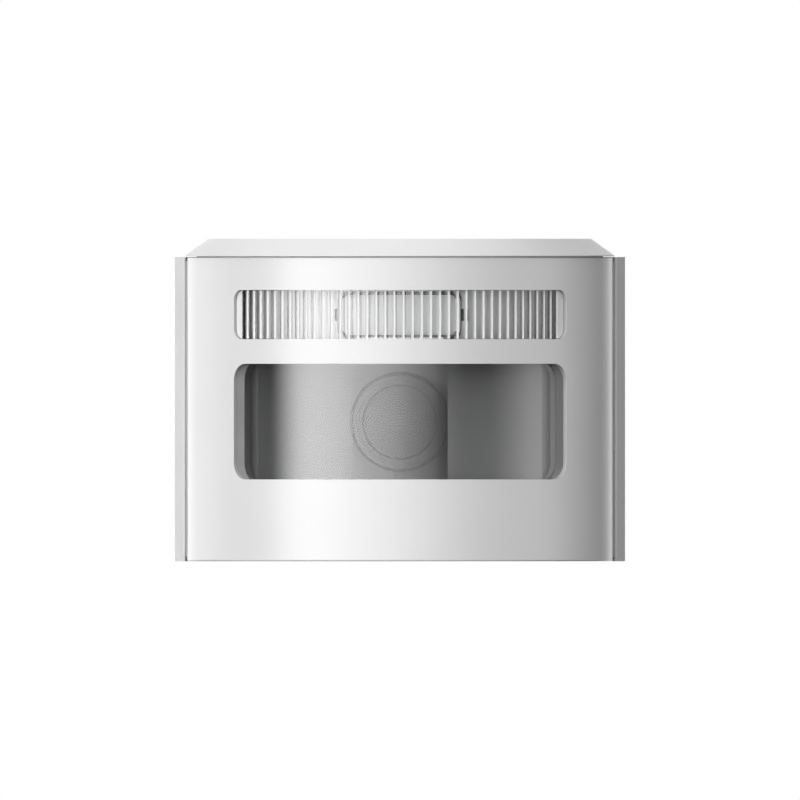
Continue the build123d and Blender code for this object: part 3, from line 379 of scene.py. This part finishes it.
lacquer = {"smears": 0.03, "Coat_Weight": 0.25, "Coat_Roughness": 0.18}
cover_white = plastic("cover_white", WHITE, 0.3, grain=0.0005, depth=0.000003, **lacquer)
# The cover's cut walls and inner face get painted shade, a darker grey.
paint(overpaint(cover_white, cut_wall_shade_mask, CUT_WALL_SHADE_GREY), "front_cover")
paint(plastic("cap_white", WHITE, 0.42, dust=0.25), "top_cap")
housing_white = plastic("housing_white", shade(WHITE, 0.97), 0.46, grain=0.0006, depth=0.00002)
paint(housing_white, "rear_housing", "base_plate")
paint(plastic("bezel_grey", rgb(0.5, 0.51, 0.51), 0.28), "window_bezel")
paint(plastic("seal_rubber", rgb(0.02), 0.62, grain=0.0002), "window_gasket", "cap_seal", "base_seal")
window_glass = tinted_sheet("window_tint", rgb(0.012, 0.013, 0.0125), 0.3, 0.03, 2.3)
paint(window_glass, "scan_window")
filter_glass = plastic("filter_glass", rgb(0.04, 0.042, 0.046), 0.06, depth=0.0, IOR=1.35)
paint(filter_glass, "objective_lens")
paint(coated_glass("splitter_coat", rgb(0.3, 0.24, 0.15), 1.5), "beam_splitter")
chamber_grey = plastic("chamber_grey", CHAMBER_GREY, 0.6, depth=0.00001)
# The chamber's end lands are painted pale: painted light.
paint(overpaint(chamber_grey, end_land_light_mask, LAND_LIGHT_GREY), "scan_chamber")

part_black = plastic("part_black", rgb(0.018), 0.4)
paint(part_black, "encoder_sensor", "board_chips", "plug_insert", "reset_switch", "vent_plug")
paint(plastic("button_grey", rgb(0.2, 0.21, 0.22), 0.4), "reset_button")
reflector_white = plastic("reflector_white", rgb(0.88), 0.35)
# Both ends of the reflector are painted darker grey: painted shade where little light reaches.
paint(overpaint(reflector_white, reflector_end_shade_mask, rgb(0.42)), "light_reflector")
paint(plastic("tray_white", rgb(0.88), 0.35), "light_box")
paint(plastic("socket_ivory", rgb(0.75, 0.72, 0.63), 0.45), "board_connectors")
paint(plastic("diffuser_milk", rgb(0.84), 0.4), "lamp_diffuser")
paint(plastic("lamp_cream", rgb(0.85, 0.78, 0.5), 0.3), "leds")

screw_steel = metal("screw_steel", STEEL, 0.3)
paint(screw_steel, "cover_screws", "cap_screws", "base_screws", "frame_screws", "hub_screws")
paint(turned("insert_brass", BRASS, 0.32), "mount_inserts", "bearing_tube", "laser_holder")
paint(metal("frame_cast", rgb(0.62, 0.62, 0.63), 0.42, depth=0.00002), "optics_frame")
paint(turned("bearing_ground", rgb(0.7), 0.16), "bearing_lower", "bearing_upper")
paint(turned("shaft_ground", rgb(0.62), 0.18), "motor_shaft")
paint(turned("bell_plated", rgb(0.5, 0.5, 0.51), 0.25), "rotor_bell")
paint(metal("laminations", rgb(0.22, 0.22, 0.23), 0.45, brush=(0.5, 0.5, 9)), "stator_core")
paint(metal("coil_copper", rgb(0.62, 0.23, 0.08), 0.28, brush=(1, 1, 6)), "stator_coils")
paint(plastic("magnet_ferrite", rgb(0.05), 0.5), "magnet_ring")
paint(metal("disc_etched", rgb(0.35), 0.3), "encoder_disc")
paint(metal("anodised_black", rgb(0.035, 0.035, 0.038), 0.36), "splitter_block")
paint(plastic("holder_black", rgb(0.004), 0.6, depth=0.000006), "mirror_holder")
paint(plastic("barrel_grey", rgb(0.05), 0.5, depth=0.000006), "lens_tube", "lens_retainer")
paint(metal("mirror_coat", rgb(0.9, 0.9, 0.91), 0.03, depth=0.0), "scan_mirror")
paint(metal("can_plated", rgb(0.68, 0.68, 0.66), 0.22), "laser_diode", "photodiode", "detector_shield")
paint(metal("bracket_zinc", rgb(0.6, 0.6, 0.61), 0.34), "light_bracket")
paint(metal("sink_aluminium", rgb(0.55, 0.55, 0.57), 0.36, brush=(0.3, 6, 1)), "heat_sink")
plug_nickel = turned("plug_nickel", rgb(0.62, 0.61, 0.58), 0.24)
paint(plug_nickel, "plug_shell", "plug_nut")
paint(turned("pin_gold", rgb(0.83, 0.58, 0.22), 0.2), "plug_pins")
board_green = circuit("board_green", rgb(0.008, 0.075, 0.035), rgb(0.8, 0.6, 0.3))
paint(board_green, "main_board", "motor_board", "detector_board", "laser_board", "interface_board")
paint(circuit("board_white", rgb(0.8), rgb(0.85, 0.7, 0.4)), "led_board")


# ---------------------------------------------------------------- pieces made here
def piece_from(mesh, name, material, body, sharp=30):
    """Turns a bmesh into a named piece with its finish, riding on a body."""
    data = bpy.data.meshes.new(name)
    mesh.to_mesh(data)
    mesh.free()
    data.shade_smooth()
    data.set_sharp_from_angle(angle=math.radians(sharp))
    data.materials.append(material)
    piece = bpy.data.objects.new(name, data)
    bpy.context.scene.collection.objects.link(piece)
    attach(piece, body)
    return piece


def skin_sections(mesh, sections, closed=False):
    """Skins closed sections of equal length, with an end face on each end unless they close on themselves."""
    following = sections[1:] + sections[:1] if closed else sections[1:]
    for section, after in zip(sections, following):
        for i in range(len(section)):
            j = (i + 1) % len(section)
            mesh.faces.new((section[i], section[j], after[j], after[i]))
    if not closed:
        mesh.faces.new(sections[0])
        mesh.faces.new(sections[-1])
    bmesh.ops.recalc_face_normals(mesh, faces=mesh.faces)


# ---------------------------------------------------------------- ribbed lens of the light bar
# All angles of the lens are in degrees from straight ahead.
LENS_BACK = 60.1 * MM
LENS_FLANGE = 61.7 * MM
RIB_CREST = SCAN_AXIS.y - low_corner("light_lens").y
RIB_EDGE = 63.0 * MM
CREST_DISH = 0.16 * MM
FLUTE_DEPTH = 0.4 * MM
RIB_PITCH = 2.5
CREST_WIDTH = 1.75  # the rest of the pitch is the flute
RIBBED_HALF = 48.75
BLOCK_HALF = 51.25
FLANGE_HALF = 54.0
FLANGE_LIP = 2.35 * MM  # from the flange's edge to the block's edge
BLOCK_CORNER = 3.05 * MM
CORNER_STEP = 0.35


def rib_radius(angle):
    """Radius of the lens face: slightly dished crests between narrow round flutes."""
    if abs(angle) > RIBBED_HALF:
        return RIB_EDGE
    along = (angle + RIBBED_HALF) % RIB_PITCH
    if along < CREST_WIDTH:
        across = 2 * along / CREST_WIDTH - 1
        return RIB_CREST - CREST_DISH * (1 - across**2)
    across = 2 * (along - CREST_WIDTH) / (RIB_PITCH - CREST_WIDTH) - 1
    return RIB_CREST - FLUTE_DEPTH * math.sqrt(max(0.0, 1 - across**2))


def lens_angles():
    """Stations along the sweep, closer together where the face bends."""
    angles = {-FLANGE_HALF, -RIBBED_HALF, RIBBED_HALF, FLANGE_HALF}
    plain_end = BLOCK_HALF - RIBBED_HALF
    steps = [i * CORNER_STEP for i in range(math.ceil(plain_end / CORNER_STEP))]
    angles.update(side * (BLOCK_HALF - step) for side in (-1, 1) for step in steps)
    half = (RIB_PITCH - CREST_WIDTH) / 2
    for rib in range(round(2 * RIBBED_HALF / RIB_PITCH)):
        start = rib * RIB_PITCH - RIBBED_HALF
        angles.update(start + CREST_WIDTH * i / 6 for i in range(7))
        angles.update(start + CREST_WIDTH + half * (1 - math.cos(math.pi * i / 8)) for i in range(1, 8))
    return sorted(round(angle, 4) for angle in angles)


def lens_section(angle, face):
    """Eight points of the section at an angle: flange at the back, block in front of it."""
    z_low, z_high = low_corner("light_lens").z, high_corner("light_lens").z
    into_corner = RIB_CREST * math.radians(abs(angle) - BLOCK_HALF) + BLOCK_CORNER
    into_corner = min(max(into_corner, 0.0), BLOCK_CORNER)
    rise = BLOCK_CORNER - math.sqrt(BLOCK_CORNER**2 - into_corner**2)
    low, high = z_low + FLANGE_LIP + rise, z_high - FLANGE_LIP - rise
    outline = (
        (LENS_BACK, z_low),
        (LENS_FLANGE, z_low),
        (LENS_FLANGE, low),
        (face, low),
        (face, high),
        (LENS_FLANGE, high),
        (LENS_FLANGE, z_high),
        (LENS_BACK, z_high),
    )
    turn = math.radians(angle)
    return [(radius * math.sin(turn), SCAN_AXIS.y - radius * math.cos(turn), z) for radius, z in outline]


def is_frosted(place):
    """Whether a point of the lens is in a flute or in one of the two plain ends of its face."""
    ahead = SCAN_AXIS.y - place.y
    angle = math.degrees(math.atan2(place.x, ahead))
    if math.hypot(place.x, ahead) < LENS_FLANGE + 0.2 * MM:
        return False
    return abs(angle) > RIBBED_HALF or (angle + RIBBED_HALF) % RIB_PITCH > CREST_WIDTH


def light_lens():
    """Clear lens with frosted flutes, swept section by section round the scanner's front."""
    mesh = bmesh.new()
    sections = []
    for angle in lens_angles():
        if abs(angle) < BLOCK_HALF:
            sections.append(lens_section(angle, rib_radius(angle)))
        elif abs(angle) == BLOCK_HALF:
            ends = [lens_section(angle, rib_radius(angle)), lens_section(angle, LENS_FLANGE)]
            sections.extend(ends if angle > 0 else reversed(ends))
        else:
            sections.append(lens_section(angle, LENS_FLANGE))
    skin_sections(mesh, [[mesh.verts.new(point) for point in section] for section in sections])
    bmesh.ops.remove_doubles(mesh, verts=mesh.verts, dist=0.001 * MM)
    bmesh.ops.recalc_face_normals(mesh, faces=mesh.faces)
    for face in mesh.faces:
        face.material_index = int(is_frosted(face.calc_center_median()))
    lens = piece_from(mesh, "ribbed_lens", lens_clear, "cover", sharp=25)
    lens.data.materials.append(lens_frosted)
    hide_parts("light_lens")


lens_clear = coated_glass("lens_clear", rgb(0.97, 0.975, 0.975), 1.49, smear=0.01)
lens_frosted = plastic("lens_frosted", rgb(0.985), 0.35, depth=0.00001, Transmission_Weight=0.12, IOR=1.49)
light_lens()


# ---------------------------------------------------------------- small pieces of the casing
SIDE_SEAL_X = (64.06 * MM, 64.66 * MM)
SIDE_SEAL_Y = (24.45 * MM, 25.1 * MM)
SIDE_SEAL_Z = (1.2 * MM, 90.3 * MM)
OPENING_HALF = 51.4  # degrees either side of straight ahead
OPENING_HEIGHT = 34.8 * MM
OPENING_CORNER = 5.2 * MM
LIP_FOOT = 61.68 * MM  # distance of the lip's foot from the scan axis
LIP_WIDTH = 2.2 * MM
LIP_HEIGHT = 1.2 * MM
LIP_GAP = 0.02 * MM  # to the opening's wall
LIP_TAPER = 0.7  # how fast a lip shrinks round the corner
TRAY_SEAL_WIDTH = 0.7 * MM
TRAY_SEAL_HEIGHT = 0.45 * MM
TRAY_CORNERS = (3.0 * MM, 2.3 * MM)  # outer and inner edge of the seal
# Grey of the groove beads: painted shade of the grooves between cover and housing.
groove_bead_shade = plastic("groove_bead_shade", rgb(0.6), 0.55, grain=0.0003)
seal_dark = plastic("seal_foam", rgb(0.09), 0.7, grain=0.0002, depth=0.00003)
seal_grey = plastic("seal_grey", rgb(0.2), 0.5, grain=0.0003)


def bar(mesh, low, high, soft):
    """Adds a box between two corners, with its edges rounded."""
    low, high = Vector(low), Vector(high)
    made = bmesh.ops.create_cube(mesh, size=1.0)["verts"]
    for vert in made:
        vert.co = [low[i] + (vert.co[i] + 0.5) * (high[i] - low[i]) for i in range(3)]
    edges = {edge for vert in made for edge in vert.link_edges}
    bmesh.ops.bevel(mesh, geom=list(edges), offset=soft, segments=3, profile=0.5, affect="EDGES")


def side_seals():
    """Grey silicone beads in the two upright grooves between the cover and the housing; their grey is painted
    shade of the grooves.
    """
    for side, name in ((-1, "side_seal_left"), (1, "side_seal_right")):
        mesh = bmesh.new()
        left, right = sorted(side * x for x in SIDE_SEAL_X)
        bar(mesh, (left, SIDE_SEAL_Y[0], SIDE_SEAL_Z[0]), (right, SIDE_SEAL_Y[1], SIDE_SEAL_Z[1]), 0.12 * MM)
        piece_from(mesh, name, groove_bead_shade, "housing")


def lip_section(side, up, bend):
    """Foot, crest and outer edge of a lip, at a bend into the upper or lower corner of the opening."""
    turn = math.radians(OPENING_HALF)
    outwards = Vector((side * math.sin(turn), -math.cos(turn), 0))
    inwards = Vector((-side * math.cos(turn), -math.sin(turn), 0))
    z = middle_of("scan_window").z
    z += up * (OPENING_HEIGHT / 2 - OPENING_CORNER + OPENING_CORNER * math.sin(bend))
    wall = OPENING_CORNER * (1 - math.cos(bend)) + LIP_GAP
    share = math.cos(bend) ** LIP_TAPER
    width, height = LIP_WIDTH * share, LIP_HEIGHT * share
    points = []
    for offset, radius in ((wall, LIP_FOOT), (wall, LIP_FOOT + height), (wall + width, LIP_FOOT)):
        reach = math.sqrt(radius**2 - offset**2)
        points.append(Vector((SCAN_AXIS.x, SCAN_AXIS.y, z)) + outwards * reach + inwards * offset)
    return points


def window_lips():
    """Grey sealing lips in front of the pane, along both ends of the scan opening and round its corners."""
    for side, name in ((-1, "window_lip_left"), (1, "window_lip_right")):
        mesh = bmesh.new()
        sections = []
        for up, bends in ((-1, range(80, -1, -10)), (1, range(0, 81, 10))):
            for bend in bends:
                points = lip_section(side, up, math.radians(bend))
                sections.append([mesh.verts.new(point) for point in points])
        skin_sections(mesh, sections)
        piece_from(mesh, name, seal_grey, "cover", sharp=50)


def long_edge(half_wide, half_high, corner, up):
    """Upper or lower edge of a rounded rectangle, with most of both its corners."""
    points = []
    for across, turns in ((1, range(30, 91, 10)), (-1, range(90, 29, -10))):
        for turn in turns:
            x = across * (half_wide - corner + corner * math.cos(math.radians(turn)))
            points.append((x, up * (half_high - corner + corner * math.sin(math.radians(turn)))))
    return points


def tray_seals():
    """Foam light seals along the upper and the lower lip of the lamp tray."""
    low, high = low_corner("light_box"), high_corner("light_box")
    middle = (low.z + high.z) / 2
    half_wide, half_high = (high.x - low.x) / 2, (high.z - low.z) / 2
    front, back = low.y - TRAY_SEAL_HEIGHT, low.y
    for up, name in ((1, "tray_seal_upper"), (-1, "tray_seal_lower")):
        outer = long_edge(half_wide, half_high, TRAY_CORNERS[0], up)
        inner = long_edge(half_wide - TRAY_SEAL_WIDTH, half_high - TRAY_SEAL_WIDTH, TRAY_CORNERS[1], up)
        mesh = bmesh.new()
        sections = []
        for (x_out, z_out), (x_in, z_in) in zip(outer, inner):
            corners = ((x_out, back, z_out), (x_out, front, z_out), (x_in, front, z_in), (x_in, back, z_in))
            sections.append([mesh.verts.new((x, y, middle + z)) for x, y, z in corners])
        skin_sections(mesh, sections)
        piece_from(mesh, name, seal_dark, "housing")


side_seals()
tray_seals()
window_lips()


# ---------------------------------------------------------------- cable connector
PLUG_BORE = 4.7 * MM
PLUG_FLANGE = 8.2 * MM
PLUG_NECK = 5.8 * MM
PLUG_THREAD = 6.0 * MM
FLANGE_THICK = 2.3 * MM
THREAD_LENGTH = 7.5 * MM
THREAD_PITCH = 1.0 * MM
THREAD_DEPTH = 0.45 * MM
PLUG_EASE = 0.15 * MM
PLUG_MOUTH = (0.5 * MM, 0.7 * MM)  # how far the thread's last turn and the rim lie inside the thread
PLUG_STEPS = 72
THREAD_STATIONS = 60


def thread_radius(along, turn):
    """Radius of the screw thread at a distance from its inner end, run out at both ends."""
    phase = (along / THREAD_PITCH - turn / (2 * math.pi)) % 1.0
    cut = THREAD_DEPTH * (1 - abs(2 * phase - 1))
    fade = min(1.0, along / THREAD_PITCH, (THREAD_LENGTH - along) / THREAD_PITCH)
    return PLUG_THREAD - cut * max(0.0, fade)


def plug_profile(low, high, turn):
    """Length and radius of each point of the connector shell's profile, at a turn about its axis."""
    thread_start = high - THREAD_LENGTH
    flange_end = low + FLANGE_THICK
    threaded = [THREAD_LENGTH * i / THREAD_STATIONS for i in range(THREAD_STATIONS - 2)]
    return [
        (low, PLUG_BORE),
        (low, PLUG_FLANGE - PLUG_EASE),
        (low + PLUG_EASE, PLUG_FLANGE),
        (flange_end - PLUG_EASE, PLUG_FLANGE),
        (flange_end, PLUG_FLANGE - PLUG_EASE),
        (flange_end, PLUG_NECK),
        (thread_start, PLUG_NECK),
        *((thread_start + along, thread_radius(along, turn)) for along in threaded),
        (high - PLUG_EASE, PLUG_THREAD - PLUG_MOUTH[0]),
        (high, PLUG_THREAD - PLUG_MOUTH[1]),
        (high, PLUG_BORE),
    ]


def threaded_plug():
    """Connector shell with a real thread for the cable's nut."""
    low, high = low_corner("plug_shell"), high_corner("plug_shell")
    centre = middle_of("plug_shell")
    mesh = bmesh.new()
    sections = []
    for step in range(PLUG_STEPS):
        turn = 2 * math.pi * step / PLUG_STEPS
        section = []
        for y, radius in plug_profile(low.y, high.y, turn):
            place = (centre.x + radius * math.cos(turn), y, centre.z + radius * math.sin(turn))
            section.append(mesh.verts.new(place))
        sections.append(section)
    skin_sections(mesh, sections, closed=True)
    shell = piece_from(mesh, "threaded_plug", plug_nickel, "housing", sharp=35)
    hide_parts("plug_shell")


threaded_plug()


# ---------------------------------------------------------------- small parts on the boards
CHIP_SIZE = Vector((1.6, 0.8, 0.45)) * MM
CHIP_END = 0.3 * MM
CHIP_ROOM = 0.5 * MM
CHIP_SPACING = 2.6 * MM
CHIP_CLEARANCE = 3 * MM  # above the board
TRIES_PER_CHIP = 12
tin = metal("tin", rgb(0.7, 0.7, 0.69), 0.3)


def is_free(place, half, board, others):
    """Whether a small part fits flat on a board there, with nothing above it for a few millimetres."""
    down = Vector((0, 0, -1))
    for across in (-1, 0, 1):
        for along in (-1, 0, 1):
            start = place + Vector((across * half.x, along * half.y, CHIP_CLEARANCE))
            hit, where, _, _ = nodes[board].ray_cast(start, down)
            if not hit or abs(where.z - place.z) > 0.01 * MM:
                return False
            if any(nodes[other].ray_cast(start, down, distance=CHIP_CLEARANCE)[0] for other in others):
                return False
    return True


def free_places(board, others, count, seed):
    """Scatters up to count small parts on the free places of a board: the middle and size of each."""
    draw = random.Random(seed)
    low, high = low_corner(board), high_corner(board)
    taken = []
    for _ in range(count * TRIES_PER_CHIP):
        if len(taken) == count:
            break
        size = CHIP_SIZE.copy()
        if draw.random() < 0.5:
            size.x, size.y = size.y, size.x
        place = Vector((draw.uniform(low.x, high.x), draw.uniform(low.y, high.y), high.z))
        half = size / 2 + Vector((CHIP_ROOM, CHIP_ROOM, 0))
        crowded = any((place - other).length < CHIP_SPACING for other, _ in taken)
        if not crowded and is_free(place, half, board, others):
            taken.append((place, size))
    return taken


def small_parts(board, others, count, seed):
    """Chip resistors and capacitors with tinned ends, scattered over a board."""
    bodies, ends = bmesh.new(), bmesh.new()
    lowered = Vector((0, 0, 0.02 * MM))
    for place, size in free_places(board, others, count, seed):
        start = place - Vector((size.x / 2, size.y / 2, 0))
        end = start + size
        long_way = Vector((1, 0, 0)) if size.x > size.y else Vector((0, 1, 0))
        end_cap, rest = long_way * CHIP_END, long_way * (CHIP_SIZE.x - CHIP_END)
        bar(bodies, start + end_cap, end - end_cap - lowered, 0.03 * MM)
        bar(ends, start, end - rest, 0.05 * MM)
        bar(ends, start + rest, end, 0.05 * MM)
    piece_from(bodies, board + "_chips", part_black, "housing")
    piece_from(ends, board + "_chip_ends", tin, "housing")


small_parts("main_board", ("board_chips", "heat_sink", "board_connectors", "interface_board"), 90, 11)
small_parts("detector_board", ("detector_shield",), 22, 12)


# ---------------------------------------------------------------- studio
# Brightness of the softbox round the horizon: degrees from straight ahead, positive to the right, and level.
HORIZON = (
    (-178, 0.0),
    (-150, 0.15),
    (-130, 0.26),
    (-112, 0.14),
    (-98, 0.02),
    (-86, 0.0),
    (-77, 0.05),
    (-66, 0.6),
    (-55, 1.0),
    (-44, 0.97),
    (-30, 0.8),
    (0, 0.45),
    (20, 0.17),
    (32, 0.035),
    (52, 0.0),
    (70, 0.15),
    (86, 0.26),
    (108, 0.1),
    (140, 0.0),
)
SOFTBOX_LEVEL = 7.2
OVERHEAD_LEVEL = 1.4
OVERHEAD_AIM = Vector((-0.22, -0.5, 0.8)).normalized()
BEHIND_LEVEL = 1.3
FILL_LEVEL = 0.05


def softbox_light(tree, direction):
    """Strength of the softbox, a low band round the horizon."""
    towards_front = tree.math("MULTIPLY", direction["Y"], -1.0)
    turn = tree.math("ARCTAN2", direction["X"], towards_front)
    ramp = tree.nodes.new("ShaderNodeValToRGB")
    ramp.color_ramp.interpolation = "CARDINAL"
    tree.put(tree.scale(turn, 0.0, 1.0, -math.pi, math.pi), ramp.inputs["Fac"])
    stops = ramp.color_ramp.elements
    while len(stops) < len(HORIZON):
        stops.new(0.5)
    for stop, (angle, level) in zip(stops, HORIZON):
        stop.position = (angle + 180) / 360
        stop.color = rgb(level)
    above = tree.scale(direction["Z"], 1.0, 0.0, 0.08, 0.26)
    below = tree.scale(direction["Z"], 0.0, 1.0, -0.09, -0.03)
    band = tree.math("MULTIPLY", above, below)
    return tree.math("MULTIPLY", tree.math("MULTIPLY", ramp.outputs["Color"], band), SOFTBOX_LEVEL)


def studio_world():
    """White studio: a softbox round the horizon, a soft light overhead and a white wall behind."""
    world = bpy.data.worlds.new("studio")
    bpy.context.scene.world = world
    world.use_nodes = True
    tree = Tree(world)
    facing = tree.nodes["Texture Coordinate"].outputs["Generated"]
    direction = tree.separate(facing)
    aimed = tree.nodes.new("ShaderNodeVectorMath")
    aimed.operation = "DOT_PRODUCT"
    tree.links.new(facing, aimed.inputs[0])
    aimed.inputs[1].default_value = OVERHEAD_AIM
    overhead = tree.scale(aimed.outputs["Value"], 0.0, OVERHEAD_LEVEL, 0.35, 0.95)
    behind = tree.scale(direction["Y"], 0.0, BEHIND_LEVEL, 0.8, 0.97)
    front = tree.math("ADD", softbox_light(tree, direction), overhead)
    level = tree.math("ADD", front, tree.math("ADD", behind, FILL_LEVEL))
    shown = tree.nodes.new("ShaderNodeMix")
    tree.put(tree.nodes.new("ShaderNodeLightPath").outputs["Is Camera Ray"], shown.inputs["Factor"])
    tree.put(level, shown.inputs["A"])
    shown.inputs["B"].default_value = 1.0
    background = tree.nodes["Background"]
    background.inputs["Color"].default_value = rgb(1.0)
    tree.put(shown.outputs["Result"], background.inputs["Strength"])


FLOOR_RADIUS = 1.2
FLOOR_FADE = (0.12, 0.75)  # metres from the middle
FLOOR_GAP = 0.0002


def floor():
    """Pale disc that fades into the white studio."""
    below = (0, 0, -FLOOR_GAP)
    bpy.ops.mesh.primitive_circle_add(vertices=96, radius=FLOOR_RADIUS, fill_type="NGON", location=below)
    disc = bpy.context.object
    disc.name = "floor"
    material, tree, inputs = new_material("floor_pale", Roughness=0.7)
    tree.put(tree.mix(tree.noise(0.2, 2.0), rgb(0.84), rgb(0.87)), inputs["Base Color"])
    reach = tree.nodes.new("ShaderNodeVectorMath")
    reach.operation = "LENGTH"
    tree.links.new(tree.place, reach.inputs[0])
    tree.put(tree.scale(reach.outputs["Value"], 1.0, 0.0, *FLOOR_FADE), inputs["Alpha"])
    disc.data.materials.append(material)
    disc.visible_diffuse = False
    disc.visible_glossy = False
    disc.visible_shadow = False


studio_world()
floor()


VIEW_WIDTH = 240.64 * MM
CAMERA_DISTANCE = 0.8


def camera():
    """Straight from the front without perspective, the object a little over half the picture wide."""
    data = bpy.data.cameras.new("camera")
    data.type = "ORTHO"
    data.ortho_scale = VIEW_WIDTH
    eye = bpy.data.objects.new("camera", data)
    bpy.context.scene.collection.objects.link(eye)
    low, high = cad_box
    eye.location = (0.0, -CAMERA_DISTANCE, (low[2] + high[2]) / 2)
    eye.rotation_euler = (math.radians(90), 0, 0)
    data.clip_start, data.clip_end = 0.01, 10
    bpy.context.scene.camera = eye


camera()
bpy.context.scene.view_settings.view_transform = "Standard"
